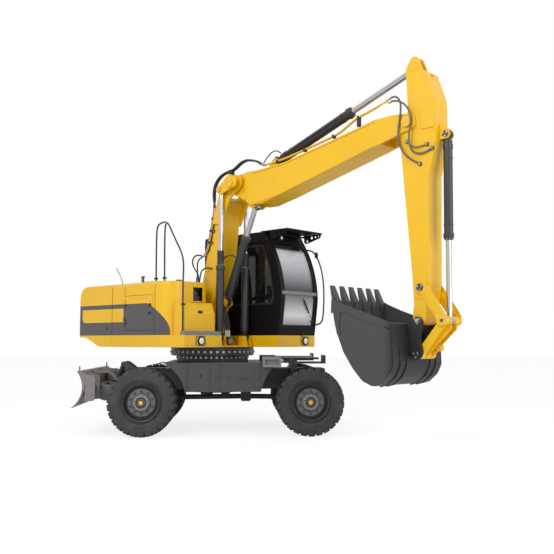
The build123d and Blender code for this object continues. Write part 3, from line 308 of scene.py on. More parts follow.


# upper frame: yellow sides, with painted shade as a dark floor between them and dark below the frame
deckLevels = {"under": 1.372, "top": 1.553, "ceiling": 1.6, "sides": (-0.468, 0.305), "edge": 0.004}


def makeDeck():
    made = paint("deckPaint", bodyTone)
    x, y, z = made.axes(turned=True)
    s = deckLevels
    near, far = s["sides"]
    above = made.ramp(z, s["top"], s["top"] + 0.002) * (z < s["ceiling"])
    middle = made.ramp(y, near, near + s["edge"]) * made.ramp(far - y, 0.0, s["edge"]) * above
    # painted shade: the floor between the sides and the frame's underside are painted dark
    dark = (z < s["under"]).most(middle)
    made.colour(made.mix(dark, made.laid(), tone(40, 39, 41)))
    return made


# steps are grey, mudguards black ahead of the boxes
guardSpan = {"from": 1.125, "outside": 0.72}


def makeStepPaint():
    made = paint("stepPaint", tone(128, 126, 126), 0.5, 0.1, dust=0.2)
    x, y, z = made.axes()
    start, outside = guardSpan["from"], guardSpan["outside"]
    guard = made.ramp(x, start, start + 0.005) * made.ramp(y * y, outside ** 2, (outside + 0.01) ** 2)
    made.colour(made.mix(guard, made.laid(), tone(30, 30, 31)))
    return made


bucketBack = (3.95, 4.07)


def makeBucketPaint():
    # the back and the ears are near black
    made = finishes["bucketGrey"]
    x, y, z = made.axes(turned=True)
    made.colour(made.mix(made.ramp(x, *bucketBack), made.laid(), tone(26, 26, 27)))


makeBucketPaint()
for name in ("cabGrey", "roofBlack"):
    finishes[name].shader.inputs["Specular IOR Level"].default_value = 0.15
finishes["panelYellow"] = makePanel()
finishes["cabScreen"] = makeScreen()
finishes["deckPaint"] = makeDeck()
finishes["stepPaint"] = makeStepPaint()
print("finishes ready")

nodeFinish = {
    "bodyYellow": ["toolbox", "toolbox_lid", "base_boom", "outer_boom", "stick", "rocker", "bucket_link"],
    "deckPaint": ["upper_frame"],
    "panelYellow": ["counterweight", "engine_cover", "service_door", "fuel_tank"],
    "frameGrey": ["chassis_frame"],
    "stepPaint": ["steps_and_guards"],
    "axleGrey": ["rear_axle", "front_axle", "driveline", "knuckle_right", "knuckle_left"],
    "bladeGrey": ["dozer_blade"],
    "bucketGrey": ["bucket"],
    "cabGrey": ["cab_floor", "cab_side_walls", "cab_rear_wall", "cab_front_frame", "cab_door"],
    "roofBlack": ["cab_roof"],
    "ramGrey": ["blade_ram_barrels", "lift_ram_barrels", "adjust_ram_barrel", "stick_ram_barrel",
        "bucket_ram_barrel"],
    "rodChrome": ["blade_ram_rods", "lift_ram_rods", "adjust_ram_rod", "stick_ram_rod", "bucket_ram_rod"],
    "rimBlack": ["hub_front_right", "hub_front_left", "hub_rear_right", "hub_rear_left"],
    "tyreRubber": ["tyres_front_right", "tyres_front_left", "tyres_rear_right", "tyres_rear_left"],
    "railBlack": ["handrails"],
    "plasticBlack": ["cab_seat", "roof_guard", "lamps"],
    "darkSteel": ["engine_block"],
    "sideGlass": ["cab_door_glass"],
    "cabScreen": ["cab_glass"],
}
for finishName, nodes in nodeFinish.items():
    for node in nodes:
        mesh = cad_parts[node].data
        mesh.materials.clear()
        mesh.materials.append(finishes[finishName].material)
print("frame painted")


# ---- mesh helpers: each adds to a bmesh
def addBox(bm, low, high):
    size = [h - l for l, h in zip(low, high)]
    middle = [(h + l) / 2 for l, h in zip(low, high)]
    where = Matrix.Translation(middle) @ Matrix.Diagonal((*size, 1))
    return bmesh.ops.create_cube(bm, size=1, matrix=where)["verts"]


def addRod(bm, start, end, radius, sides=20, endRadius=None):
    start, end = Vector(start), Vector(end)
    along = end - start
    where = Matrix.Translation((start + end) / 2) @ along.to_track_quat("Z", "Y").to_matrix().to_4x4()
    tip = radius if endRadius is None else endRadius
    return bmesh.ops.create_cone(bm, cap_ends=True, segments=sides, radius1=radius, radius2=tip,
        depth=along.length, matrix=where)["verts"]


def bridge(bm, first, second, closed=True):
    # faces between two rows of vertices
    for i in range(len(first) if closed else len(first) - 1):
        j = (i + 1) % len(first)
        bm.faces.new((first[i], first[j], second[j], second[i]))


def addLoft(bm, rows):
    # a closed skin over rows of points, capped at both ends
    loops = [[bm.verts.new(p) for p in row] for row in rows]
    for first, second in zip(loops, loops[1:]):
        bridge(bm, first, second)
    bm.faces.new(loops[0][::-1])
    bm.faces.new(loops[-1])


def addPlate(bm, outline, nearY, farY):
    # a side view of (x, z) points between two planes of y
    near, far = ([bm.verts.new((x, y, z)) for x, z in outline] for y in (nearY, farY))
    bm.faces.new(near)
    bm.faces.new(far[::-1])
    bridge(bm, far, near)


def angles(count, start=0.0):
    return [2 * math.pi * k / count + start for k in range(count)]


def addTurned(bm, profile, origin, axis, steps=48, closed=False):
    # a profile of (along, radius) turned about the axis through origin
    axis = Vector(axis).normalized()
    side = axis.orthogonal().normalized()
    third = axis.cross(side)
    origin = Vector(origin)
    ways = [side * math.cos(a) + third * math.sin(a) for a in angles(steps)]
    rings = [[bm.verts.new(origin + axis * along + way * radius)
        for way in (ways if radius > 1e-6 else ways[:1])] for along, radius in profile]
    pairs = list(zip(rings, rings[1:])) + ([(rings[-1], rings[0])] if closed else [])
    for low, high in pairs:
        for k in range(steps):
            n = (k + 1) % steps
            corners = [low[k % len(low)], low[n % len(low)], high[n % len(high)], high[k % len(high)]]
            corners = list(dict.fromkeys(corners))
            if len(corners) > 2:
                bm.faces.new(corners)


def roundedBox(points, radius, steps=5):
    # a flat outline with its corners rounded, as (x, z) points
    out = []
    count = len(points)
    for i in range(count):
        p, a, b = Vector(points[i]), Vector(points[i - 1]), Vector(points[(i + 1) % count])
        u, v = (a - p).normalized(), (b - p).normalized()
        angle = u.angle(v)
        reach = min(radius / math.tan(angle / 2), (a - p).length * 0.48, (b - p).length * 0.48)
        start, end = p + u * reach, p + v * reach
        for k in range(steps + 1):
            t = k / steps
            out.append(tuple(start * (1 - t) ** 2 + p * 2 * t * (1 - t) + end * t ** 2))
    return out


def toMesh(name, bm):
    mesh = bpy.data.meshes.new(name)
    bm.to_mesh(mesh)
    bm.free()
    return mesh


def smoothed(mesh, sharp):
    mesh.shade_smooth()
    mesh.set_sharp_from_angle(angle=math.radians(sharp))


def linked(name, data):
    thing = bpy.data.objects.new(name, data)
    scene.collection.objects.link(thing)
    return thing


def makePiece(name, bm, finish, body, turned=True, bevel=0.0, sharp=35, segments=2):
    if turned:
        bmesh.ops.transform(bm, matrix=slewTurn, verts=bm.verts)
    bmesh.ops.recalc_face_normals(bm, faces=bm.faces)
    mesh = toMesh(name, bm)
    smoothed(mesh, sharp)
    mesh.materials.append(finishes[finish].material)
    piece = linked(name, mesh)
    if bevel:
        edge = piece.modifiers.new("edges", "BEVEL")
        edge.width = bevel
        edge.segments = segments
        edge.limit_method = "ANGLE"
        edge.angle_limit = math.radians(sharp)
        edge.harden_normals = True
    if body:
        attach(piece, body)
    return piece


# a table row is a finish, a bevel and the low and high corners of boxes
def makeBoxes(table, body, turned=True):
    for name, (finish, bevel, boxes) in table.items():
        bm = bmesh.new()
        for low, high in boxes:
            addBox(bm, low, high)
        makePiece(name, bm, finish, body, turned=turned, bevel=bevel)


def plainMesh(holder):
    # what a curve or a modifier makes, as a mesh of its own
    bpy.context.view_layer.update()
    mesh = bpy.data.meshes.new_from_object(holder.evaluated_get(bpy.context.evaluated_depsgraph_get()))
    bpy.data.objects.remove(holder)
    return mesh


# a hose or pipe along a smooth line of given points
def makeHosePiece(name, runs, radius, finish, body, turned=True):
    bm = bmesh.new()
    for points in runs:
        curve = bpy.data.curves.new(name + "Line", "CURVE")
        curve.dimensions = "3D"
        line = curve.splines.new("NURBS")
        line.points.add(len(points) - 1)
        for spot, p in zip(line.points, points):
            spot.co = (*p, 1)
        line.order_u = 4 if len(points) > 3 else 3
        line.use_endpoint_u = True
        line.resolution_u = 8
        curve.bevel_depth = radius
        curve.bevel_resolution = 3
        curve.use_fill_caps = True
        tube = plainMesh(linked(name + "Line", curve))
        bm.from_mesh(tube)
        bpy.data.curves.remove(curve)
        bpy.data.meshes.remove(tube)
    bmesh.ops.remove_doubles(bm, verts=bm.verts, dist=1e-5)
    return makePiece(name, bm, finish, body, turned=turned, sharp=50)


# ---- Geometry Nodes: one unit repeated round an axis, set at points, or laid out as a grid
def newTree(name, **inputs):
    tree = bpy.data.node_groups.new(name, "GeometryNodeTree")
    for label, kind in {"Geometry": "Geometry", **inputs, "Finish": "Material"}.items():
        tree.interface.new_socket(label, in_out="INPUT", socket_type="NodeSocket" + kind)
    tree.interface.new_socket("Geometry", in_out="OUTPUT", socket_type="NodeSocketGeometry")
    return tree, {s.name: Flow(tree, s) for s in tree.nodes.new("NodeGroupInput").outputs if s.name}


def shifted(tree, geometry, **ways):
    return addNode(tree, "GeometryNodeTransform", Geometry=geometry, **ways)


def copied(tree, points, unit, **ways):
    copies = addNode(tree, "GeometryNodeInstanceOnPoints", Points=points, Instance=unit, **ways)
    return addNode(tree, "GeometryNodeRealizeInstances", at0=copies)


def closeTree(tree, geometry, finish):
    dressed = addNode(tree, "GeometryNodeSetMaterial", Geometry=geometry, Material=finish)
    join(tree, tree.nodes.new("NodeGroupOutput").inputs[0], dressed)
    return tree


def makeRoundTree():
    tree, given = newTree("roundTheAxle", Count="Int", Middle="Vector", Axis="Vector")
    count, middle = given["Count"], given["Middle"]
    back = addNode(tree, "ShaderNodeVectorMath", {"operation": "SCALE"}, at0=middle, Scale=-1)
    centred = shifted(tree, given["Geometry"], Translation=back)
    line = addNode(tree, "GeometryNodeMeshLine", Count=count, Offset=(0, 0, 0))
    index = addNode(tree, "GeometryNodeInputIndex")
    angle = index.calc("DIVIDE", index, count)
    turn = addNode(tree, "FunctionNodeAxisAngleToRotation", Axis=given["Axis"], Angle=angle * (2 * math.pi))
    real = copied(tree, line, centred, Rotation=turn)
    return closeTree(tree, shifted(tree, real, Translation=middle), given["Finish"])


def makeBoltTree():
    # each point carries "facing", the way its bolt looks
    tree, given = newTree("boltsAtPoints", Radius="Float", Height="Float", Washer="Float")
    height = given["Height"]

    def disc(sides, radius, share):
        made = addNode(tree, "GeometryNodeMeshCylinder", Vertices=sides, Radius=radius, Depth=height * share)
        return shifted(tree, made, Translation=addNode(tree, "ShaderNodeCombineXYZ", Z=height * (share / 2)))

    head, washer = disc(6, given["Radius"], 1.0), disc(14, given["Washer"], 0.25)
    both = addNode(tree, "GeometryNodeJoinGeometry", at0=head)
    join(tree, both.socket.node.inputs[0], washer)
    facing = addNode(tree, "GeometryNodeInputNamedAttribute", {"data_type": "FLOAT_VECTOR"}, Name="facing")
    turn = addNode(tree, "FunctionNodeAlignRotationToVector", {"axis": "Z"}, Vector=facing)
    return closeTree(tree, copied(tree, given["Geometry"], both, Rotation=turn), given["Finish"])


def applyTree(name, mesh, tree, values, finish, body, sharp=35):
    source = linked(name + "Source", mesh)
    grown = source.modifiers.new("grown", "NODES")
    grown.node_group = tree
    values["Finish"] = finishes[finish].material
    for item in tree.interface.items_tree:
        if item.in_out == "INPUT" and item.name in values:
            grown[item.identifier] = values[item.name]
    plain = plainMesh(source)
    plain.name = name
    smoothed(plain, sharp)
    piece = linked(name, plain)
    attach(piece, body)
    return piece


roundTree = makeRoundTree()
boltTree = makeBoltTree()


def makeRound(name, bm, count, middle, axis, finish, body, turned=False):
    middle, axis = Vector(middle), Vector(axis)
    if turned:
        bmesh.ops.transform(bm, matrix=slewTurn, verts=bm.verts)
        middle, axis = slewTurn @ middle, slewTurn @ axis
    bmesh.ops.recalc_face_normals(bm, faces=bm.faces)
    values = {"Count": count, "Middle": middle, "Axis": axis}
    return applyTree(name, toMesh(name, bm), roundTree, values, finish, body)


def makeBolts(name, spots, radius, height, finish, body, turned=True):
    # spots: (x, y, z) and the way the head looks
    mesh = bpy.data.meshes.new(name)
    turn = slewTurn if turned else Matrix.Identity(4)
    mesh.from_pydata([turn @ Vector(p) for p, way in spots], [], [])
    facing = mesh.attributes.new("facing", "FLOAT_VECTOR", "POINT")
    for item, (p, way) in zip(facing.data, spots):
        item.vector = turn @ Vector(way)
    values = {"Radius": radius, "Height": height, "Washer": radius * 1.45}
    return applyTree(name, mesh, boltTree, values, finish, body)


# ---- wheels: twin tyres with block lugs, bolted hubs with a yellow cap
tyreSizes = {"width": 0.275, "gap": 0.05, "outer": 1.25, "lugs": 26, "root": 0.503, "lugHalfTurn": 4.5,
    "lugSkew": 2.4}
# a lug from the tread's middle over the shoulder: reach, radius, share of its width
lugRows = [(0.016, 0.5245, 0.82), (0.05, 0.526, 0.95), (0.092, 0.5255, 1.0), (0.116, 0.519, 1.04),
    (0.13, 0.5, 1.06), (0.1365, 0.474, 1.0), (0.134, 0.452, 0.8)]
# half a tyre's outline from the tread's middle down to the bead: reach, radius
tyreHalf = [(0.0, 0.503), (0.07, 0.5025), (0.108, 0.497), (0.122, 0.483), (0.13, 0.462), (0.1345, 0.446),
    (0.1345, 0.44), (0.1375, 0.436), (0.1375, 0.424), (0.1355, 0.42), (0.1365, 0.398), (0.135, 0.378),
    (0.1365, 0.374), (0.1365, 0.366), (0.133, 0.362), (0.127, 0.342), (0.118, 0.322), (0.113, 0.318),
    (0.113, 0.306), (0.108, 0.302), (0.105, 0.284), (0.098, 0.2825)]


def lugBlock(bm, middle, side, phase):
    # one block from near the tread's middle over the shoulder; middle is the tyre's own middle plane
    turnHalf = math.radians(tyreSizes["lugHalfTurn"])
    skew = math.radians(tyreSizes["lugSkew"]) * side
    tops, bases = [], []
    for reach, radius, wide in lugRows:
        lean = phase + skew * (1 - reach / 0.1375) * 2
        pair, under = [], []
        inset = 0.012 if reach > 0.11 else 0.0
        foot = min(radius - 0.022, tyreSizes["root"]) if reach < 0.12 else radius - 0.014
        for sign in (-1, 1):
            for ring, r, y, a in ((pair, radius, reach, lean + sign * turnHalf * wide),
                    (under, foot, reach - inset, lean + sign * turnHalf * wide * 1.12)):
                ring.append(bm.verts.new((r * math.sin(a), middle + side * y, r * math.cos(a))))
        tops.append(pair)
        bases.append(under)
    for i in range(len(lugRows) - 1):
        bm.faces.new((tops[i][0], tops[i][1], tops[i + 1][1], tops[i + 1][0]))
        bm.faces.new((bases[i][0], bases[i][1], bases[i + 1][1], bases[i + 1][0]))
        for s in (0, 1):
            bm.faces.new((tops[i][s], tops[i + 1][s], bases[i + 1][s], bases[i][s]))
    for i in (0, -1):
        bm.faces.new((tops[i][0], tops[i][1], bases[i][1], bases[i][0]))


def makeTyres(end, hand):
    body = f"wheel_{end}_{hand}"
    sign = -1 if hand == "right" else 1
    axle = (axleAt[end], 0, axleHeight)
    firstMiddle = sign * (tyreSizes["outer"] - tyreSizes["width"] / 2)
    secondMiddle = firstMiddle - sign * (tyreSizes["width"] + tyreSizes["gap"])
    bm = bmesh.new()
    for middle in (firstMiddle, secondMiddle):
        profile = [(middle + y, r) for y, r in tyreHalf] + [(middle - y, r) for y, r in tyreHalf[:0:-1]]
        addTurned(bm, profile, axle, (0, 1, 0), 78, closed=True)
    carcass = makePiece(f"tyre_{end}_{hand}", bm, "tyreRubber", body, turned=False, sharp=40)
    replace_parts(carcass, f"tyres_{end}_{hand}")
    bm = bmesh.new()
    pitch = 2 * math.pi / tyreSizes["lugs"]
    for middle, offset in ((firstMiddle, 0.0), (secondMiddle, 0.3)):
        for side, phase in ((-1, 0.0), (1, 0.5)):
            lugBlock(bm, middle, side, (phase + offset) * pitch)
    bmesh.ops.translate(bm, vec=(axle[0], 0, axle[2]), verts=bm.verts)
    lugs = makeRound(f"tyreLugs_{end}_{hand}", bm, tyreSizes["lugs"], axle, (0, 1, 0), "tyreRubber", body)


hubSizes = {"nuts": 10, "nutRing": 0.176, "coverBolts": 12, "coverRing": 0.098, "holes": 8, "holeRing": 0.238,
    "face": 1.164}
capRadius = 0.032
# outlines of the turned parts: distance from the middle plane, radius
hubCover = [(1.13, 0.2155), (1.166, 0.2155), (1.17, 0.209), (1.17, 0.15), (1.168, 0.146), (1.215, 0.1345),
    (1.2195, 0.13), (1.2305, 0.115), (1.2305, 0.084), (1.226, 0.08), (1.226, 0.062), (1.231, 0.058),
    (1.231, 0.0)]
hubCap = [(1.228, capRadius + 0.003), (1.2465, capRadius + 0.003), (1.2505, capRadius - 0.004),
    (1.252, capRadius * 0.6), (1.2525, 0.0)]
rimFlange = [(1.2365, 0.266), (1.2365, 0.283), (1.241, 0.291), (1.2475, 0.294), (1.2495, 0.289), (1.2465, 0.28),
    (1.244, 0.272), (1.2425, 0.266)]
rimLock = [(1.2, 0.266), (1.204, 0.262), (1.214, 0.262), (1.218, 0.266)]
discHole = [(1.1385, 0.027), (1.1415, 0.03), (1.1415, 0.024), (1.1385, 0.0)]


def makeHub(end, hand):
    body = f"wheel_{end}_{hand}"
    sign = -1 if hand == "right" else 1
    x, z, face = axleAt[end], axleHeight, hubSizes["face"]
    axle = (0, 1, 0)

    def turned(rows, steps, up=0.0, closed=False):
        addTurned(bm, [(sign * a, r) for a, r in rows], (x, 0, z + up), axle, steps, closed)

    def nut(ring, rows):
        # stacked discs from low to high, as many sides as asked
        for low, high, radius, sides in rows:
            addRod(bm, (x, sign * low, z + ring), (x, sign * high, z + ring), radius, sides)

    # grey flange over the disc, with the planetary cover in front
    bm = bmesh.new()
    turned(hubCover, 56)
    cover = makePiece(f"hubCover_{end}_{hand}", bm, "hubGrey", body, turned=False)
    bm = bmesh.new()
    turned(hubCap, 32)
    yellow = makePiece(f"hubCap_{end}_{hand}", bm, "bodyYellow", body, turned=False)
    # wheel nuts on the flange
    bm = bmesh.new()
    nut(hubSizes["nutRing"], ((face + 0.004, face + 0.01, 0.019, 16), (face + 0.01, face + 0.03, 0.0155, 6),
        (face + 0.03, face + 0.044, 0.009, 10)))
    makeRound(f"wheelNuts_{end}_{hand}", bm, hubSizes["nuts"], (x, 0, z), axle, "darkSteel", body)
    bm = bmesh.new()
    nut(hubSizes["coverRing"], ((1.2295, 1.2395, 0.0085, 6),))
    makeRound(f"coverBolts_{end}_{hand}", bm, hubSizes["coverBolts"], (x, 0, z), axle, "boltSteel", body)
    # bead flange and lock ring of the rim
    bm = bmesh.new()
    turned(rimFlange, 72, closed=True)
    turned(rimLock, 72, closed=True)
    ringPiece = makePiece(f"rimRing_{end}_{hand}", bm, "rimBlack", body, turned=False, sharp=30)
    # hand holes round the wheel disc
    bm = bmesh.new()
    turned(discHole, 18, hubSizes["holeRing"])
    makeRound(f"handHoles_{end}_{hand}", bm, hubSizes["holes"], (x, 0, z), axle, "plasticBlack", body)


for end in ("front", "rear"):
    for hand in ("right", "left"):
        makeTyres(end, hand)
        makeHub(end, hand)
print("wheels made")


# ---- slew ring: bolts in two rows
slewCount = 44
slewRings = {"low": ("chassis", 0.6, 1.198), "high": ("upper", 0.7, 1.29)}
for tag, (body, radius, height) in slewRings.items():
    bm = bmesh.new()
    addRod(bm, (0, -radius + 0.001, height), (0, -radius - 0.004, height), 0.019, 14)
    addRod(bm, (0, -radius - 0.004, height), (0, -radius - 0.016, height), 0.014, 6)
    makeRound(f"slewBolts_{tag}", bm, slewCount, (0, 0, 0), (0, 0, 1), "boltSteel", body)
# grease lip between the two halves
bm = bmesh.new()
addTurned(bm, [(1.226, 0.6), (1.226, 0.655), (1.231, 0.66), (1.231, 0.6)], (0, 0, 0), (0, 0, 1), 72,
    closed=True)
makePiece("slewLip", bm, "plasticBlack", "chassis", turned=False)
print("slew ring made")


# ---- cab outside: seals, screen trim, wiper, visor, lamps, mirror, roof
cabSizes = {"right": 0.31, "left": 1.25, "front": 1.21, "foot": 1.56, "knee": (1.285, 2.15),
    "bow": (1.19, 2.72), "brow": (0.95, 3.2), "middle": 0.78}


def arcThrough(a, b, c):
    (ax, ay), (bx, by), (cx, cy) = a, b, c
    d = 2 * (ax * (by - cy) + bx * (cy - ay) + cx * (ay - by))
    sa, sb, sc = ax * ax + ay * ay, bx * bx + by * by, cx * cx + cy * cy
    middle = ((sa * (by - cy) + sb * (cy - ay) + sc * (ay - by)) / d,
        (sa * (cx - bx) + sb * (ax - cx) + sc * (bx - ax)) / d)
    return middle, math.dist(middle, a)


screenMiddle, screenRadius = arcThrough(cabSizes["knee"], cabSizes["bow"], cabSizes["brow"])


def screenAt(z):
    # x of the bowed front at a height; below the knee it leans back to the floor
    kneeX, kneeZ = cabSizes["knee"]
    front, foot = cabSizes["front"], cabSizes["foot"]
    if z < kneeZ:
        return front + (kneeX - front) * (z - foot) / (kneeZ - foot)
    return screenMiddle[0] + math.sqrt(screenRadius ** 2 - (z - screenMiddle[1]) ** 2)


def insetOutline(points, reach):
    out = []
    corners = list(zip([points[-1], *points[:-1]], points, [*points[1:], points[0]]))
    way = 1 if sum(p[0] * b[1] - b[0] * p[1] for _, p, b in corners) > 0 else -1
    for a, p, b in corners:
        p, a, b = Vector(p), Vector(a), Vector(b)
        u, v = (p - a).normalized(), (b - p).normalized()
        normal = Vector((-(u.y + v.y), u.x + v.x))
        if normal.length < 1e-6:
            normal = Vector((-u.y, u.x))
        normal.normalize()
        out.append(tuple(p + normal * way * reach / max(0.5, normal.dot(Vector((-u.y, u.x))))))
    return out


def addRing(bm, outline, outward, inward, near, far, place=lambda u, v, w: (u, w, v)):
    # a flat frame that follows an outline, between two depths
    loops = [[bm.verts.new(place(u, v, depth)) for u, v in insetOutline(outline, reach)]
        for reach, depth in ((-outward, near), (inward, near), (inward, far), (-outward, far))]
    for first, second in zip(loops, loops[1:] + loops[:1]):
        bridge(bm, first, second)


# (x, z) outlines on the sides, (y, z) on the rear wall
rightWindow = roundedBox([(-0.42, 2.08), (1.09, 2.08), (1.12, 2.2), (1.03, 2.7), (0.88, 3.06),
                          (-0.42, 3.06)], 0.05)
doorWindow = roundedBox([(0.03, 1.86), (0.85, 1.86), (0.85, 2.99), (0.03, 2.99)], 0.06)
leftRearWindow = roundedBox([(-0.44, 2.08), (-0.15, 2.08), (-0.15, 3.05), (-0.44, 3.05)], 0.05)
leftFrontWindow = roundedBox([(1.01, 2.22), (1.13, 2.22), (1.1, 2.56), (1.01, 2.8)], 0.02)
rearWindow = roundedBox([(0.44, 2.18), (1.12, 2.18), (1.12, 3.05), (0.44, 3.05)], 0.05)


def makeSeals():
    bm = bmesh.new()
    addRing(bm, rightWindow, 0.01, 0.014, 0.3055, 0.33)
    addRing(bm, leftRearWindow, 0.01, 0.012, 1.23, 1.2545)
    addRing(bm, leftFrontWindow, 0.006, 0.01, 1.23, 1.2545)
    addRing(bm, rearWindow, 0.01, 0.014, -0.5545, -0.535, lambda u, v, w: (w, u, v))
    makePiece("windowSeals", bm, "plasticBlack", "upper", sharp=30)
    bm = bmesh.new()
    addRing(bm, doorWindow, 0.01, 0.014, 1.23, 1.2545)
    makePiece("doorSeals", bm, "plasticBlack", "cab_door", sharp=30)


# rows of (height, distance before the screen)
screenEdge = {"low": 1.6, "high": 3.17, "steps": 22}
screenBarRows = ((2.228, -0.004), (2.234, 0.007), (2.26, 0.009), (2.286, 0.007), (2.292, -0.004))
chinRows = ((1.575, 0.004), (1.58, 0.01), (1.7, 0.01), (1.712, 0.002))


def makeScreenTrim():
    # black line round each pane and the pale bar between them
    bm = bmesh.new()
    low, high = cabSizes["right"] + 0.012, cabSizes["left"] - 0.012
    bottom, top, steps = screenEdge["low"], screenEdge["high"], screenEdge["steps"]
    for y0, y1 in ((low - 0.01, low + 0.014), (high - 0.03, high + 0.01)):
        shape = ((-0.012, y0), (0.005, y0), (0.007, (y0 + y1) / 2), (0.005, y1), (-0.012, y1))
        levels = [bottom + (top - bottom) * k / steps for k in range(steps + 1)]
        addLoft(bm, [[(screenAt(z) + dx, y, z) for dx, y in shape] for z in levels])
    makePiece("screenEdges", bm, "roofBlack", "upper", sharp=30)

    def sheet(levels, sides):
        rows = [[bm.verts.new((screenAt(z) + out, y, z)) for y in sides] for z, out in levels]
        for a, b in zip(rows, rows[1:]):
            bridge(bm, a, b, closed=False)
        return rows

    bm = bmesh.new()
    rows = sheet(screenBarRows, (low + 0.014, high - 0.03))
    bm.faces.new([r[0] for r in rows])
    bm.faces.new([r[1] for r in rows][::-1])
    bm.faces.new((rows[0][0], rows[0][1], rows[-1][1], rows[-1][0]))
    makePiece("screenBar", bm, "barGrey", "upper", sharp=50)
    # chin panel below the lower pane
    bm = bmesh.new()
    sides = (low + 0.01, high - 0.01)
    rows = sheet(chinRows, sides)
    back = [bm.verts.new((screenAt(z) - 0.006, y, z)) for z in (chinRows[0][0], chinRows[-1][0]) for y in sides]
    bm.faces.new((rows[0][0], back[0], back[1], rows[0][1]))
    bm.faces.new((rows[-1][1], back[3], back[2], rows[-1][0]))
    bm.faces.new([r[0] for r in rows] + [back[2], back[0]])
    bm.faces.new([r[1] for r in rows][::-1] + [back[1], back[3]])
    makePiece("chinPanel", bm, "cabGrey", "upper", sharp=30)


wiperSizes = {"pivot": (1.13, 1.8), "tip": (0.886, 2.14), "blade": 0.3}


def makeWiper():
    bm = bmesh.new()
    (py, pz), (ty, tz) = wiperSizes["pivot"], wiperSizes["tip"]
    addRod(bm, (screenAt(pz) - 0.01, py, pz), (screenAt(pz) + 0.032, py, pz), 0.016, 16)
    addRod(bm, (screenAt(pz) + 0.024, py, pz), (screenAt(tz) + 0.022, ty, tz), 0.006, 8, 0.0035)
    way = Vector((0, ty - py, tz - pz)).normalized()
    mid = Vector((0, ty, tz)) - way * 0.1
    half = wiperSizes["blade"] / 2
    for reach, radius in ((half, 0.009), (half * 0.6, 0.013)):
        a, b = mid - way * reach, mid + way * reach
        addRod(bm, (screenAt(a.z) + 0.008, a.y, a.z), (screenAt(b.z) + 0.008, b.y, b.z), radius, 6)
    makePiece("wiper", bm, "plasticBlack", "upper", sharp=40)


visorSizes = {"rear": 0.8, "front": 1.4, "low": 0.33, "high": 1.23, "top": 3.308, "thick": 0.006,
    "cell": 0.0375, "hole": 0.0115, "rows": 11, "columns": 22, "rim": 0.03,
    "gusset": [(0.985, 3.3), (1.385, 3.3), (1.372, 3.242), (1.345, 3.224), (1.075, 3.15), (1.058, 3.156)],
    "gussetHoles": ((1.092, 3.238, 0.03), (1.18, 3.246, 0.025), (1.262, 3.254, 0.019), (1.328, 3.262, 0.013))}


def makeVisorTree():
    # a plate cell with a round hole, set on a grid of points
    tree, given = newTree("perforatedPlate", Length="Float", Width="Float", Rows="Int", Columns="Int",
        Middle="Vector")
    grid = addNode(tree, "GeometryNodeMeshGrid", Size_X=given["Length"], Size_Y=given["Width"],
        Vertices_X=given["Rows"], Vertices_Y=given["Columns"])
    placed = shifted(tree, copied(tree, grid, given["Geometry"]), Translation=given["Middle"])
    return closeTree(tree, shifted(tree, placed, Rotation=(0, 0, math.radians(-45))), given["Finish"])


def roundWays(sides):
    # ways round a circle, half a step off the axes
    return [(math.cos(a), math.sin(a)) for a in angles(sides, math.pi / sides)]


def holedCell(name, half, hole, thick, sides=12):
    bm = bmesh.new()
    ways = roundWays(sides)
    square = [(c * half / max(abs(c), abs(s)), s * half / max(abs(c), abs(s))) for c, s in ways]
    lowOut, lowIn, topOut, topIn = ([bm.verts.new((x, y, z)) for x, y in ring] for z in (0, thick)
        for ring in (square, [(hole * c, hole * s) for c, s in ways]))
    bridge(bm, topOut, topIn)
    bridge(bm, lowIn, lowOut)
    for k in range(sides):
        j = (k + 1) % sides
        bm.faces.new((lowIn[k], topIn[k], topIn[j], lowIn[j]))
    return toMesh(name, bm)


def makeVisor():
    s = visorSizes
    cell, top, thick = s["cell"], s["top"], s["thick"]
    low, high, front = s["low"], s["high"], s["front"]
    rows, columns, rim = s["rows"], s["columns"], s["rim"]
    side = (high - low - columns * cell) / 2
    start = front - rim - rows * cell
    plate = applyTree("visorPlate", holedCell("visorPlate", cell / 2, s["hole"], thick), makeVisorTree(),
        {"Length": (rows - 1) * cell, "Width": (columns - 1) * cell, "Rows": rows, "Columns": columns,
        "Middle": (start + rows * cell / 2, (low + high) / 2, top - thick)}, "roofBlack", "upper", 30)
    bm = bmesh.new()
    strips = ((s["rear"], start, low, high), (front - rim, front, low, high),
              (start, front - rim, low, low + side), (start, front - rim, high - side, high))
    for x0, x1, y0, y1 in strips:
        addBox(bm, (x0, y0, top - thick), (x1, y1, top))
    addBox(bm, (s["rear"], low + 0.02, 3.286), (0.93, high - 0.02, top - thick))
    addRod(bm, (front - 0.008, low, top - 0.009), (front - 0.008, high, top - 0.009), 0.013, 14)
    # pierced side gussets
    for y in (low, high - 0.01):
        gussetPlate(bm, s["gusset"], y, y + 0.01, s["gussetHoles"])
    addBox(bm, (1.106, low + 0.008, 3.228), (1.13, high - 0.008, 3.252))
    rim = makePiece("visorFrame", bm, "roofBlack", "upper", bevel=0.0015, sharp=40)
    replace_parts(rim, "roof_guard")


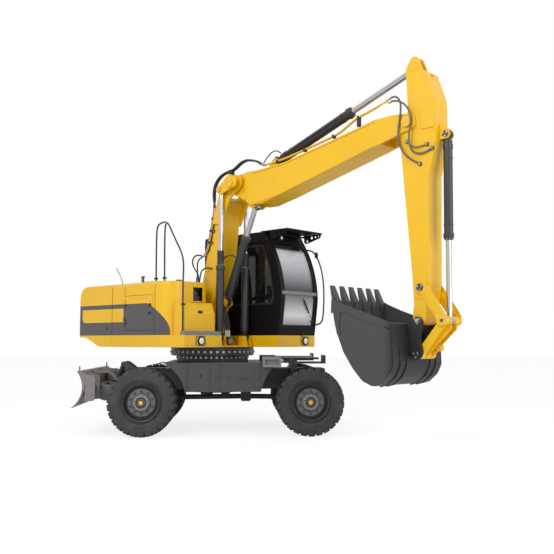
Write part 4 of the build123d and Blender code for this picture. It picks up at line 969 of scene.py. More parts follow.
def gussetPlate(bm, outline, near, far, holes):
    # plate with round holes: each hole sits in its own strip of the plate
    strips = {x + side * radius * 1.15 for x, z, radius in holes for side in (-1, 1)}
    xs = sorted({x for x, z in outline} | strips)

    def span(x):
        hits = []
        for i in range(len(outline)):
            (xa, za), (xb, zb) = outline[i], outline[(i + 1) % len(outline)]
            if min(xa, xb) - 1e-9 <= x <= max(xa, xb) + 1e-9 and abs(xa - xb) > 1e-9:
                hits.append(za + (zb - za) * (x - xa) / (xb - xa))
        return min(hits), max(hits)

    for xa, xb in zip(xs, xs[1:]):
        if xb - xa < 1e-6:
            continue
        middle = (xa + xb) / 2
        hole = next((h for h in holes if abs(h[0] - middle) < 0.002), None)
        (lowA, topA), (lowB, topB) = span(xa + 1e-7), span(xb - 1e-7)
        corners = [(xa, lowA), (xb, lowB), (xb, topB), (xa, topA)]
        if not hole:
            if topA - lowA < 1e-5:
                del corners[3]
            elif topB - lowB < 1e-5:
                del corners[2]
            addPlate(bm, corners, near, far)
            continue
        hx, hz, radius = hole
        ways = roundWays(16)
        loops = []
        for y in (near, far):
            inner, outer = [], []
            for c, s in ways:
                inner.append(bm.verts.new((hx + radius * c, y, hz + radius * s)))
                reach = (xb - xa) / 2 / max(abs(c), 1e-6)
                for qa, qb in ((lowA, lowB), (topA, topB)):
                    slope = (qb - qa) / (xb - xa)
                    bottom = s - slope * c
                    t = (qa + slope * (hx - xa) - hz) / bottom if abs(bottom) > 1e-9 else 1e9
                    if t > 0:
                        reach = min(reach, t)
                outer.append(bm.verts.new((hx + reach * c, y, hz + reach * s)))
            loops.append((inner, outer))
        (nearIn, nearOut), (farIn, farOut) = loops
        for first, second in ((nearOut, nearIn), (farIn, farOut), (nearIn, farIn)):
            bridge(bm, first, second)


# upper lamps as (x, y, z, radius), headlamps as (x, y) of their mounts
roofLamps = ((1.174, 0.45, 3.174, 0.036), (1.174, 1.11, 3.174, 0.036))
headLamps = ((0.71, -0.92), (1.21, 0.985))
headLampSizes = {"z": 1.47, "radius": 0.062, "ahead": 0.03}


def makeLamp(bm, glow, x, y, z, radius):
    # a deep bezel with a stepped lens
    addTurned(bm, [(0.0, radius - 0.01), (0.002, radius - 0.004), (0.003, radius + 0.001),
        (-0.01, radius + 0.003), (-0.012, radius - 0.002), (-0.012, radius - 0.012)], (x, y, z), (1, 0, 0), 28,
        closed=True)
    addTurned(glow, [(-0.004, radius - 0.01), (-0.001, radius - 0.012), (0.001, radius * 0.6),
        (0.002, radius * 0.58), (0.0032, radius * 0.3), (0.0036, 0.0)], (x, y, z), (1, 0, 0), 28)


def makeLamps():
    bezels, lenses = bmesh.new(), bmesh.new()
    height, wide, ahead = headLampSizes["z"], headLampSizes["radius"], headLampSizes["ahead"]
    for x, y, z, radius in (*roofLamps, *((x + ahead, y, height, wide) for x, y in headLamps)):
        makeLamp(bezels, lenses, x + 0.001, y, z, radius)
    # lamp bodies, the upper pair hung from the visor's bar
    for x, y, z, radius in roofLamps:
        addRod(bezels, (x - 0.044, y, z), (x - 0.01, y, z), radius + 0.001, 28, radius + 0.003)
        addBox(bezels, (1.112, y - 0.014, z + 0.02), (1.128, y + 0.014, 3.232))
    for x, y in headLamps:
        addRod(bezels, (x - 0.002, y, height), (x + 0.022, y, height), wide + 0.002, 32)
    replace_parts(makePiece("lampBezels", bezels, "plasticBlack", "upper", sharp=40), "lamps")
    makePiece("lampLenses", lenses, "lensWhite", "upper", sharp=40)
    # bumper plate behind each headlamp
    bm = bmesh.new()
    for x, y in headLamps:
        outline = roundedBox([(y - 0.1, 1.395), (y + 0.1, 1.395), (y + 0.1, 1.545), (y - 0.1, 1.545)], 0.03)
        addRing(bm, outline, 0.0, 0.012, x, x + 0.004, lambda u, v, w: (w, u, v))
    makePiece("lampFrames", bm, "plasticBlack", "upper", sharp=30)


mirrorSizes = {"x": 1.205, "right": 1.266, "left": 1.318, "low": 2.905, "high": 2.985}


def makeMirror():
    x, y0, y1, low, high = mirrorSizes.values()
    outline = roundedBox([(y0, low), (y1, low), (y1, high), (y0, high)], 0.012)
    bm = bmesh.new()
    addLoft(bm, [[(x + depth, u, v) for u, v in insetOutline(outline, reach)]
        for reach, depth in ((0.0, 0.0), (0.0, 0.03), (0.006, 0.04), (0.014, 0.044))])
    middle = (y0 + y1) / 2
    addRod(bm, (x + 0.02, middle, 2.89), (x + 0.02, middle, 3.0), 0.018, 16)
    makePiece("mirror", bm, "plasticBlack", "upper", sharp=40)
    bm = bmesh.new()
    inner = insetOutline(outline, 0.008)
    face, behind = ([bm.verts.new((x + depth, u, v)) for u, v in inner] for depth in (-0.0008, 0.004))
    bm.faces.new(face)
    bm.faces.new(behind[::-1])
    bridge(bm, face, behind)
    makePiece("mirrorGlass", bm, "mirrorSilver", "upper", sharp=30)


def makeRoof():
    # pressed roof panel with a hatch and ribs, under the visor's rear edge
    bm = bmesh.new()
    addPlate(bm, [(-0.555, 3.12), (0.978, 3.12), (0.962, 3.19), (0.925, 3.262), (0.885, 3.29), (-0.52, 3.29),
        (-0.548, 3.27)], 0.302, 1.258)
    shell = makePiece("roofShell", bm, "roofBlack", "upper", bevel=0.018, sharp=30, segments=3)
    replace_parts(shell, "cab_roof")
    bm = bmesh.new()
    addPlate(bm, [(-0.5, 3.286), (0.78, 3.286), (0.75, 3.302), (-0.47, 3.302)], 0.36, 1.2)
    for y in (0.46, 1.06):
        addPlate(bm, [(-0.42, 3.301), (0.7, 3.301), (0.68, 3.312), (-0.4, 3.312)], y, y + 0.045)
    addPlate(bm, [(-0.1, 3.301), (0.48, 3.301), (0.45, 3.322), (-0.07, 3.322)], 0.58, 0.98)
    makePiece("roofPanel", bm, "roofBlack", "upper", bevel=0.004, sharp=20, segments=3)
    bm = bmesh.new()
    addRod(bm, (0.19, 0.74, 3.33), (0.19, 0.82, 3.33), 0.01, 12)
    for y in (0.742, 0.818):
        addRod(bm, (0.19, y, 3.312), (0.19, y, 3.334), 0.008, 10)
    makePiece("hatchHandle", bm, "plasticBlack", "upper")
    # rain gutter along both sides of the roof
    bm = bmesh.new()
    for y in (0.294, 1.258):
        addPlate(bm, [(-0.54, 3.126), (0.965, 3.126), (0.955, 3.142), (-0.54, 3.142)], y, y + 0.008)
    makePiece("rainGutters", bm, "roofBlack", "upper", bevel=0.0015)


lens = Finish("lensWhite", tone(232, 233, 236), 0.12, Coat_Weight=0.6)
lens.colour(lens.mix(lens.noise(90.0, 1.0), tone(210, 212, 216), tone(245, 246, 248)))
finishes["lensWhite"] = lens
silver = Finish("mirrorSilver", tone(190, 195, 200), 0.04, Metallic=1.0)
silver.drive("Roughness", silver.noise(30.0, 2.0) * 0.05 + 0.03)
silver.colour(silver.mix(silver.noise(4.0), tone(180, 185, 190), tone(200, 204, 208)))
finishes["mirrorSilver"] = silver
makeSeals()
makeScreenTrim()
makeWiper()
makeVisor()
makeLamps()
makeMirror()
makeRoof()
print("cab outside made")


# ---- cab inside: seat on its bellows, consoles, column, monitor
seatSizes = {"x": 0.2, "height": 2.005, "cushion": (0.5, 0.52, 0.1, 0.012), "back": (0.47, 0.66, 0.1, 0.016),
    "head": (0.27, 0.17, 0.08, 0.012), "headUp": 0.44, "lean": 7, "hinge": (-0.035, 2.06),
    "arm": (0.085, 0.24, 0.034, 0.004), "armOut": 0.3}
padSizes = {"across": 33, "along": 25, "seam": 0.01, "rounding": 0.16, "crossSeam": 0.62}
bellowsSizes = {"folds": 17, "foot": 1.7, "pitch": 0.0153, "reach": 0.165, "fold": 0.014, "cut": 0.85}


def crownedPad(name, sizes, place, channels=3):
    # a closed cushion: rounded plan, crowned top, pinched rim and sewn channels along its length
    width, depth, thick, crown = sizes
    countU, countV = padSizes["across"], padSizes["along"]
    rounding = padSizes["rounding"]
    seams = [-1 + 2 * (c + 1) / (channels + 1) for c in range(channels)]

    def height(u, v, side):
        edge = max(0.0, (1 - u ** 6) * (1 - v ** 6)) ** 0.5
        lift = thick / 2 * edge
        if side > 0:
            seam = sum(math.exp(-((u - s) / 0.035) ** 2) for s in seams)
            across = math.exp(-((v - padSizes["crossSeam"]) / 0.04) ** 2) * (abs(u) < 0.75)
            lift += crown * (1 - u * u) * (1 - v * v)
            lift -= padSizes["seam"] * min(1.0, seam + across) * edge
        return side * lift

    bm = bmesh.new()
    for side in (1, -1):
        grid = []
        for i in range(countU):
            u = 2 * i / (countU - 1) - 1
            row = []
            for j in range(countV):
                v = 2 * j / (countV - 1) - 1
                pu = u * math.sqrt(1 - rounding * v * v) * width / 2
                pv = v * math.sqrt(1 - rounding * u * u) * depth / 2
                row.append(bm.verts.new(place(pu, pv, height(u, v, side))))
            grid.append(row)
        for near, far in zip(grid, grid[1:]):
            for j in range(countV - 1):
                corners = (near[j], far[j], far[j + 1], near[j + 1])
                bm.faces.new(corners if side > 0 else corners[::-1])
    bmesh.ops.remove_doubles(bm, verts=bm.verts, dist=0.0004)
    pad = makePiece(name, bm, "seatCloth", "upper", sharp=80)
    return pad

joystickParts = (
    ([(0.0, 0.034), (0.012, 0.036), (0.02, 0.028), (0.034, 0.029), (0.046, 0.02), (0.058, 0.021), (0.07, 0.013),
        (0.072, 0.0)], (0.05, 0, 1)),
    ([(0.06, 0.0), (0.062, 0.012), (0.085, 0.014), (0.115, 0.019), (0.15, 0.021), (0.178, 0.019), (0.19, 0.01),
        (0.192, 0.0)], (0.09, 0, 1)),
)


def makeSeat():
    m, s = cabSizes["middle"], seatSizes
    cushion = crownedPad("seatCushion", s["cushion"], lambda u, v, w: (s["x"] + v, m + u, s["height"] + w))
    lean = math.radians(s["lean"])
    hingeX, hingeZ = s["hinge"]

    def onBack(u, v, w):
        along = v + 0.36
        return (hingeX - along * math.sin(lean) + w * math.cos(lean), m + u, hingeZ + along * math.cos(lean)
            + w * math.sin(lean))

    back = crownedPad("seatBack", s["back"], onBack)
    head = crownedPad("seatHead", s["head"], lambda u, v, w: onBack(u, v + s["headUp"], w + 0.012), 0)
    # shell, suspension bellows and slides
    bm = bmesh.new()
    addPlate(bm, [(-0.06, 1.945), (0.45, 1.945), (0.44, 1.965), (-0.06, 1.965)], m - 0.23, m + 0.23)
    addPlate(bm, [(-0.085, 2.03), (-0.06, 2.02), (-0.145, 2.74), (-0.17, 2.73)], m - 0.2, m + 0.2)
    makePiece("seatShell", bm, "plasticBlack", "upper", bevel=0.006, sharp=30)
    bm = bmesh.new()
    b = bellowsSizes
    cut = b["cut"]
    shape = ((-1, -cut), (-cut, -1), (cut, -1), (1, -cut), (1, cut), (cut, 1), (-cut, 1), (-1, cut))
    addLoft(bm, [[(s["x"] + sx * reach, m + sy * reach, b["foot"] + k * b["pitch"]) for sx, sy in shape]
        for k, reach in enumerate(b["reach"] + b["fold"] * (k % 2) for k in range(b["folds"]))])
    makePiece("seatBellows", bm, "hoseRubber", "upper", sharp=20)
    # slides, and arm consoles with their posts
    bm = bmesh.new()
    addBox(bm, (0.0, m - 0.2, 1.64), (0.42, m + 0.2, 1.7))
    arms = [m + side * s["armOut"] for side in (-1, 1)]
    for side, y in zip((-1, 1), arms):
        inner = m + side * 0.22
        addPlate(bm, [(-0.06, 2.2), (0.3, 2.2), (0.345, 2.235), (0.335, 2.285), (-0.04, 2.262), (-0.07, 2.24)],
            y - 0.048, y + 0.048)
        addBox(bm, (0.0, y - 0.03, 1.98), (0.07, y + 0.03, 2.21))
        addBox(bm, (0.0, min(inner, y), 1.965), (0.07, max(inner, y), 1.995))
    makePiece("armConsoles", bm, "plasticBlack", "upper", bevel=0.008, sharp=30, segments=3)
    bm = bmesh.new()
    for y in arms:
        for rows, axis in joystickParts:
            addTurned(bm, rows, (0.285, y, 2.272), axis, 20)
    makePiece("joysticks", bm, "plasticBlack", "upper", sharp=50)
    for hand, y in zip(("right", "left"), arms):
        crownedPad(f"armPad_{hand}", s["arm"], lambda u, v, w, y=y: (0.085 + v, y + u, 2.286 + w), 0)
    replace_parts(cushion, "cab_seat")


wheelSizes = {"middle": (0.79, 0.78, 2.28), "axis": (-0.11, 0.0, 0.64), "rim": 0.17, "grip": 0.0145,
              "hub": [(-0.028, 0.03), (-0.024, 0.046), (0.004, 0.05), (0.014, 0.04), (0.017, 0.0)]}


def makeColumn():
    m = cabSizes["middle"]
    bm = bmesh.new()
    addRod(bm, (0.898, m, 1.654), (0.838, m, 2.0), 0.042, 20, 0.036)
    addRod(bm, (0.838, m, 2.0), (0.795, m, 2.25), 0.03, 20, 0.034)
    addBox(bm, (0.83, m - 0.09, 1.64), (0.97, m + 0.09, 1.675))
    # levers either side
    addRod(bm, (0.8, m - 0.13, 2.235), (0.8, m + 0.13, 2.235), 0.008, 10)
    # pedals
    for y in (m - 0.16, m + 0.1):
        addPlate(bm, [(0.93, 1.69), (1.05, 1.78), (1.043, 1.79), (0.92, 1.702)], y, y + 0.08)
        addRod(bm, (0.99, y + 0.04, 1.64), (0.99, y + 0.04, 1.74), 0.012, 10)
    makePiece("steeringColumn", bm, "plasticBlack", "upper", bevel=0.004, sharp=30)
    middle, axis = Vector(wheelSizes["middle"]), Vector(wheelSizes["axis"]).normalized()
    bm = bmesh.new()
    rim, grip = wheelSizes["rim"], wheelSizes["grip"]
    profile = [(grip * math.sin(a), rim + grip * math.cos(a)) for a in angles(12)]
    addTurned(bm, profile, middle, axis, 48, closed=True)
    addTurned(bm, wheelSizes["hub"], middle, axis, 24)
    side = axis.orthogonal().normalized()
    third = axis.cross(side)
    for a in angles(3, 0.5):
        out = side * math.cos(a) + third * math.sin(a)
        addRod(bm, middle + out * 0.036 - axis * 0.01, middle + out * rim, 0.011, 10)
    makePiece("steeringWheel", bm, "plasticBlack", "upper", sharp=50)


# side consoles and rear shelf: (x, z) outline, near and far y
consoles = (
    ([(-0.46, 1.64), (0.32, 1.64), (0.36, 1.72), (0.3, 1.9), (-0.1, 1.96), (-0.46, 1.96)], 0.362, 0.445),
    ([(-0.46, 1.64), (0.05, 1.64), (0.05, 1.88), (-0.46, 1.92)], 1.11, 1.196),
    ([(-0.498, 1.64), (-0.24, 1.64), (-0.27, 2.06), (-0.498, 2.14)], 0.42, 1.14),
)


def makeCabFittings():
    bm = bmesh.new()
    # monitor on its stalk by the near post, with a pale blank face
    addRod(bm, (0.88, 0.44, 1.66), (0.93, 0.43, 2.26), 0.014, 12)
    addBox(bm, (0.915, 0.375, 2.25), (0.955, 0.545, 2.385))
    for outline, near, far in consoles:
        addPlate(bm, outline, near, far)
    makePiece("cabConsoles", bm, "cabTrim", "upper", bevel=0.012, sharp=30, segments=3)
    makeBoxes({"monitorFace": ("screenFace", 0.0, [((0.9125, 0.388, 2.263), (0.9145, 0.532, 2.372))])}, "upper")
    bm = bmesh.new()
    for x, y, lean in ((0.2, 0.402, 0.1), (0.12, 0.402, 0.06)):
        addRod(bm, (x, y, 1.93), (x + lean * 0.5, y, 2.12), 0.006, 10)
        addTurned(bm, [(-0.03, 0.0), (-0.028, 0.012), (0.0, 0.018), (0.024, 0.012), (0.028, 0.0)],
            (x + lean * 0.5, y, 2.13), (0, 0, 1), 16)
    makePiece("consoleLevers", bm, "plasticBlack", "upper", sharp=50)
    ribs = [((0.47, y, 1.6475), (1.07, y + 0.016, 1.6525)) for y in (0.43 + k * 0.045 for k in range(16))]
    makeBoxes({"floorMat": ("hoseRubber", 0.001, [((0.44, 0.4, 1.6405), (1.1, 1.16, 1.648)), *ribs]),
        "headLining": ("cabTrim", 0.01, [((-0.48, 0.37, 3.14), (0.9, 1.19, 3.168))])}, "upper")


cloth = Finish("seatCloth", tone(92, 92, 96), 0.9, Sheen_Weight=0.3)
weave = cloth.node("ShaderNodeTexWave", {"wave_type": "BANDS", "bands_direction": "DIAGONAL"}, out=1,
    Vector=cloth.place(), Scale=260.0, Distortion=1.0)
cloth.colour(cloth.mix(cloth.noise(24.0, 4.0), tone(78, 78, 82), tone(112, 112, 116)))
cloth.bump(weave, 0.4, 0.001)
finishes["seatCloth"] = cloth
makeSeat()
makeColumn()
makeCabFittings()
print("cab inside made")


# ---- booms and rams: glands, pin covers, pipes, hoses
# foot and eye as (x, z), middle plane y, barrel length and radius, rod radius
rams = {
    **{f"lift_{hand}": {"foot": (0.55, 1.54), "eye": (0.585, 3.935), "y": y, "barrel": 1.15, "radius": 0.064,
        "rod": 0.038, "body": "lift_ram_barrel"} for hand, y in (("right", -0.37), ("left", 0.21))},
    "adjust": {"foot": (0.425, 2.12), "eye": (1.09, 3.65), "y": boomPlane, "barrel": 1.13, "radius": 0.07,
        "rod": 0.043, "body": "adjust_ram_barrel"},
    "stick": {"foot": (1.58, 4.3), "eye": (4.09, 5.18), "y": boomPlane, "barrel": 1.545, "radius": 0.072,
        "rod": 0.045, "body": "stick_ram_barrel"},
    "bucket": {"foot": (4.6, 4.19), "eye": (4.575, 1.73), "y": boomPlane, "barrel": 1.385, "radius": 0.06,
        "rod": 0.038, "body": "bucket_ram_barrel"},
}


def alongRam(ram, distance):
    (fx, fz), (ex, ez) = ram["foot"], ram["eye"]
    share = distance / math.hypot(ex - fx, ez - fz)
    return Vector((fx + (ex - fx) * share, ram["y"], fz + (ez - fz) * share))


glandSizes = {"length": 0.06, "bolts": 8, "bands": ((0.16, 0.012), (0.3, 0.03)), "topBand": 0.2,
    "bandWidth": 0.03}


def makeGlands():
    for name, ram in rams.items():
        start, way = alongRam(ram, ram["barrel"]), alongRam(ram, 1.0) - alongRam(ram, 0.0)
        outer, rod, length = ram["radius"] * 1.12, ram["rod"], glandSizes["length"]
        bm = bmesh.new()
        # stepped gland nut and wiper ring on the barrel's end
        addTurned(bm, [(-length, outer + 0.001), (-length, outer + 0.005), (-0.048, outer + 0.005),
            (-0.044, outer + 0.001), (-0.012, outer + 0.001), (0.0, outer - 0.004), (0.004, outer - 0.01),
            (0.004, rod + 0.016), (0.018, rod + 0.013), (0.022, rod + 0.006), (0.022, rod + 0.0015),
            (-length, rod + 0.0015)], start, way, 40, closed=True)
        makePiece(f"gland_{name}", bm, "ramGrey", ram["body"], sharp=30)
        bm = bmesh.new()
        at = start + Vector((0, (outer + rod + 0.006) / 2, 0))
        addRod(bm, at + way * 0.003, at + way * 0.013, 0.0065, 6)
        makeRound(f"glandBolts_{name}", bm, glandSizes["bolts"], start, way, "boltSteel", ram["body"],
            turned=True)
        # weld ring and clamp bands along the barrel
        bm = bmesh.new()
        r = ram["radius"]
        bands = (*glandSizes["bands"], (ram["barrel"] - glandSizes["topBand"], glandSizes["bandWidth"]))
        for near, width in bands:
            far = near + width
            addTurned(bm, [(near, r - 0.002), (near + 0.003, r + 0.004), (far - 0.003, r + 0.004),
                (far, r - 0.002)], alongRam(ram, 0), way, 36, closed=True)
        makePiece(f"barrelBands_{name}", bm, "ramGrey", ram["body"], sharp=30)


sleeveSizes = {"from": 1.14, "to": 1.395, "radius": 0.0535, "bore": 0.0395}


def makeSleeves():
    # the lift barrels' slimmer upper ends
    bm = bmesh.new()
    low, high, r, bore = sleeveSizes.values()
    for name in ("lift_right", "lift_left"):
        base = alongRam(rams[name], 0)
        addTurned(bm, [(low, bore), (low, r), (high - 0.075, r), (high - 0.072, r + 0.0015),
            (high - 0.004, r + 0.0015), (high, r - 0.003), (high, bore)], base,
            alongRam(rams[name], 1.0) - base, 40, closed=True)
    makePiece("liftSleeves", bm, "ramGrey", "lift_ram_barrel", sharp=30)


# (x, z) of a pin, reach from the boom's plane, radius
pinCovers = {
    "base_boom": [((0.83, 4.0), 0.364, 0.07), ((0.585, 3.935), 0.3664, 0.045)],
    "outer_boom": [((4.1, 4.42), 0.23, 0.075), ((1.58, 4.3), 0.0842, 0.045)],
    "upper": [((0.0, 1.72), 0.2344, 0.075)],
    "stick": [((4.26, 2.17), 0.2034, 0.052), ((4.22, 1.735), 0.2074, 0.056), ((4.6, 4.19), 0.0724, 0.044)],
    "rocker": [((4.575, 1.73), 0.1914, 0.052)],
    "bucket": [((4.21, 1.293), 0.24, 0.048)],
}
pinFinish = {"bucket": "bucketGrey", "stick": "darkSteel", "rocker": "darkSteel"}


def makePinCovers():
    for body, rows in pinCovers.items():
        bm = bmesh.new()
        spots = []
        for (x, z), reach, radius in rows:
            for side in (-1, 1):
                y = boomPlane + side * reach
                steps = ((-0.004, radius), (0.007, radius), (0.01, radius - 0.004), (0.01, radius * 0.45),
                    (0.014, radius * 0.4), (0.014, 0.0))
                addTurned(bm, [(along * side, r) for along, r in steps], (x, y, z), (0, 1, 0), 32)
                for a in angles(3, 0.6):
                    spots.append(((x + radius * 0.72 * math.cos(a), y + side * 0.01, z
                        + radius * 0.72 * math.sin(a)), (0, side, 0)))
        makePiece(f"pinCovers_{body}", bm, pinFinish.get(body, "bodyYellow"), body, sharp=35)
        makeBolts(f"pinBolts_{body}", spots, 0.0085, 0.007, "boltSteel", body)
    # the bright head on the bucket's main pin
    bm = bmesh.new()
    (x, z), reach, radius = pinCovers["stick"][1]
    for side in (-1, 1):
        near, far = (boomPlane + side * out for out in (reach, 0.235))
        addRod(bm, (x, near, z), (x, far, z), 0.029, 20, 0.026)
    makePiece("bucketPinHeads", bm, "boltSteel", "stick", bevel=0.002)


# pipes down the base boom's near side, ending off its rear edge
boomPipes = {"radius": 0.0105, "step": 0.032, "y": -0.2925, "finish": ("bareSteel", "bodyYellow", "hoseRubber"),
    "line": [(0.322, 3.66), (0.305, 3.58), (0.272, 3.44), (0.19, 3.1), (0.145, 2.96), (0.095, 2.915),
    (0.06, 2.89)], "clamps": ((0.289, 3.51), (0.24, 3.31), (0.194, 3.12))}


def makeBoomPipes():
    s = boomPipes
    y = s["y"]
    for k, finish in enumerate(s["finish"]):
        # the pipes draw together at their lower ends
        run = [(x + s["step"] * k * (0.9 if i > 4 else 1), y, z) for i, (x, z) in enumerate(s["line"])]
        makeHosePiece(f"boomPipe_{k}", [run], s["radius"], finish, "base_boom")
    bm = bmesh.new()
    spots = []
    for x, z in s["clamps"]:
        addPlate(bm, [(x - 0.022, z - 0.022), (x + 0.098, z - 0.046), (x + 0.108, z - 0.008),
            (x - 0.012, z + 0.016)], -0.28, -0.306)
        spots += [((x - 0.003, -0.306, z - 0.005), (0, -1, 0)), ((x + 0.09, -0.306, z - 0.027), (0, -1, 0))]
    makePiece("pipeClamps", bm, "plasticBlack", "base_boom", bevel=0.003)
    makeBolts("pipeClampBolts", spots, 0.007, 0.006, "boltSteel", "base_boom")
    bm = bmesh.new()
    for dx in (s["step"] * k for k in range(3)):
        addRod(bm, (0.314 + dx, y, 3.625), (0.324 + dx, y, 3.675), 0.0165, 6)
        addRod(bm, (0.09 + dx * 0.9, y, 2.911), (0.05 + dx * 0.9, y, 2.883), 0.0165, 6)
    makePiece("pipeNuts", bm, "boltSteel", "base_boom")


# pipes along the outer boom's near top edge
topPipeY = (-0.262, -0.29)


def makeTopPipes():
    runs = []
    for k, y in enumerate(topPipeY):
        runs.append([(1.47, y, 4.232), (1.62, y, 4.236), (1.885, y, 4.258), (2.45, y, 4.365), (2.9, y, 4.452),
            (3.02, y, 4.5), (3.17, y, 4.59), (3.36, y, 4.66), (3.6, y, 4.705), (3.72 + 0.04 * k, y, 4.77),
            (3.8 + 0.03 * k, y, 4.8 - 0.06 * k)])
    makeHosePiece("topPipes", runs, 0.0115, "bodyYellow", "outer_boom")
    bm = bmesh.new()
    spots = []
    for x, foot, top in ((1.75, 4.209, 4.266), (2.3, 4.303, 4.356), (2.85, 4.411, 4.463), (3.3, 4.499, 4.655)):
        addPlate(bm, [(x - 0.02, foot), (x + 0.02, foot), (x + 0.02, top), (x - 0.02, top)], -0.246, -0.306)
        spots.append(((x, -0.267, top), (0, 0, 1)))
    makePiece("topPipeClamps", bm, "plasticBlack", "outer_boom", bevel=0.003)
    makeBolts("topPipeBolts", spots, 0.007, 0.006, "boltSteel", "outer_boom")
    bm = bmesh.new()
    for k, y in enumerate(topPipeY):
        addRod(bm, (3.785 + 0.03 * k, y, 4.792 - 0.06 * k), (3.835 + 0.03 * k, y, 4.806 - 0.06 * k), 0.018, 6)
        addRod(bm, (1.42, y, 4.236), (1.48, y, 4.233), 0.018, 6)
    makePiece("topPipeNuts", bm, "boltSteel", "outer_boom")


def crossing(name, runs, radius, first, second, start, end, finish="hoseRubber"):
    piece = makeHosePiece(name, runs, radius, finish, None)
    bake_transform(piece)
    return piece


# lines from end to end
stickLines = [
    [(3.83, -0.262, 4.805), (3.9, -0.28, 4.815), (3.975, -0.3, 4.78), (4.03, -0.306, 4.68),
        (4.008, -0.306, 4.5), (3.962, -0.306, 4.29), (3.985, -0.3, 4.06), (4.11, -0.275, 3.905),
        (4.276, -0.26, 3.818)],
    [(3.87, -0.29, 4.748), (3.95, -0.296, 4.74), (4.06, -0.312, 4.69), (4.15, -0.314, 4.58),
        (4.19, -0.314, 4.43), (4.135, -0.312, 4.21), (4.15, -0.3, 4.02), (4.24, -0.28, 3.95),
        (4.36, -0.266, 3.947), (4.47, -0.262, 4.0)],
]
stickLineShort = [(4.085, -0.256, 4.15), (4.13, -0.272, 4.085), (4.21, -0.276, 4.045), (4.3, -0.272, 4.045),
    (4.39, -0.258, 4.065)]
stickBlockSpots = ((4.276, 3.818), (4.47, 4.0), (4.085, 4.15), (4.39, 4.065))
footLine = [(1.4, -0.25, 4.245), (1.4, -0.2, 4.33), (1.44, -0.13, 4.44), (1.51, -0.1, 4.492),
    (1.59, -0.095, 4.47), (1.64, -0.09, 4.425)]
valveLines = [
    [(0.295, -0.64, 2.3), (0.3, -0.6, 2.42), (0.21, -0.52, 2.56), (0.05, -0.45, 2.64), (-0.09, -0.4, 2.76),
        (-0.11, -0.37, 2.88), (-0.04, -0.32, 2.93), (0.055, -0.2925, 2.886)],
    [(0.3, -0.68, 2.3), (0.3, -0.64, 2.44), (0.19, -0.52, 2.59), (0.06, -0.42, 2.7), (0.02, -0.37, 2.82),
        (0.04, -0.32, 2.86), (0.084, -0.2925, 2.886)],
    [(0.29, -0.6, 2.31), (0.28, -0.56, 2.45), (0.21, -0.48, 2.59), (0.18, -0.4, 2.66), (0.22, -0.32, 2.69),
        (0.29, -0.2935, 2.66)],
]
deckLine = [(0.56, 1.4), (0.56, 1.52), (0.555, 1.7), (0.52, 1.86), (0.455, 2.01), (0.385, 2.14), (0.345, 2.23)]
adjustLine = [(0.47, -0.2925, 2.66), (0.51, -0.2925, 2.76), (0.56, -0.27, 2.85), (0.64, -0.2, 2.88),
    (0.7, -0.165, 2.85), (0.735, -0.15, 2.8)]


def kneeLine(k):
    y = -0.17 - 0.042 * k
    over = [(0.215, 3.92), (0.235, 4.07), (0.33, 4.19), (0.48, 4.262), (0.64, 4.27), (0.745, 4.3),
        (0.85, 4.372), (0.98, 4.405), (1.14, 4.37), (1.26, 4.33)]
    return [(0.324 + 0.032 * k, -0.2925, 3.67), (0.318 + 0.02 * k, -0.29, 3.73), (0.262, y - 0.03, 3.81),
        *((x, y, z) for x, z in over), (1.34, y - 0.03, 4.27), (1.43, topPipeY[k], 4.238)]


def makeHoses():
    # thick pair over the knuckle
    runs = [kneeLine(0), kneeLine(1)]
    crossing("kneeHoses", runs, 0.0165, "base_boom", "outer_boom", (0.42, -0.19, 4.24), (1.16, -0.19, 4.36))
    bm = bmesh.new()
    addPlate(bm, [(0.6, 4.17), (0.66, 4.165), (0.665, 4.285), (0.605, 4.29)], -0.145, -0.236)
    makePiece("kneeHoseClamp", bm, "plasticBlack", "base_boom", bevel=0.006)
    # the stick's hoses hang in loops past its pin
    crossing("stickHoses", stickLines, 0.0135, "outer_boom", "stick", (3.98, -0.3, 4.62), (4.02, -0.3, 4.14),
        "hoseGrey")
    makeHosePiece("stickHoseShort", [stickLineShort], 0.009, "hoseGrey", "stick")
    bm = bmesh.new()
    for x, z in stickBlockSpots:
        addBox(bm, (x - 0.024, -0.272, z - 0.024), (x + 0.024, -0.244, z + 0.024))
    makePiece("stickHoseBlocks", bm, "darkSteel", "stick", bevel=0.004)
    spots = [((x, -0.272, z), (0, -1, 0)) for x, z in stickBlockSpots]
    makeBolts("stickHoseBolts", spots, 0.008, 0.007, "boltSteel", "stick")
    # short loop at the stick ram's foot
    makeHosePiece("footLoop", [footLine], 0.0095, "hoseRubber", "outer_boom")
    # loops between the valve recess and the boom's pipes
    crossing("valveLoops", valveLines, 0.0125, "upper", "base_boom", (0.25, -0.52, 2.52), (0.1, -0.36, 2.8))
    # hoses from the deck to the boom's foot, with their bright couplings
    ends = ("upper", "base_boom", (0.555, -0.19, 1.66), (0.4, -0.19, 2.14))
    crossing("deckHoses", [[(x, -0.235 + 0.045 * k, z) for x, z in deckLine] for k in range(3)], 0.0145, *ends)
    rings = [[(0.5565, -0.235 + 0.04 * k, z) for z in (1.54, 1.58, 1.61, 1.64)] for k in range(3)]
    crossing("deckCouplings", rings, 0.021, *ends, "boltSteel")
    # adjusting ram's hose
    crossing("adjustHoses", [adjustLine], 0.011, "base_boom", "adjust_ram_barrel", (0.54, -0.29, 2.8),
        (0.66, -0.19, 2.87))


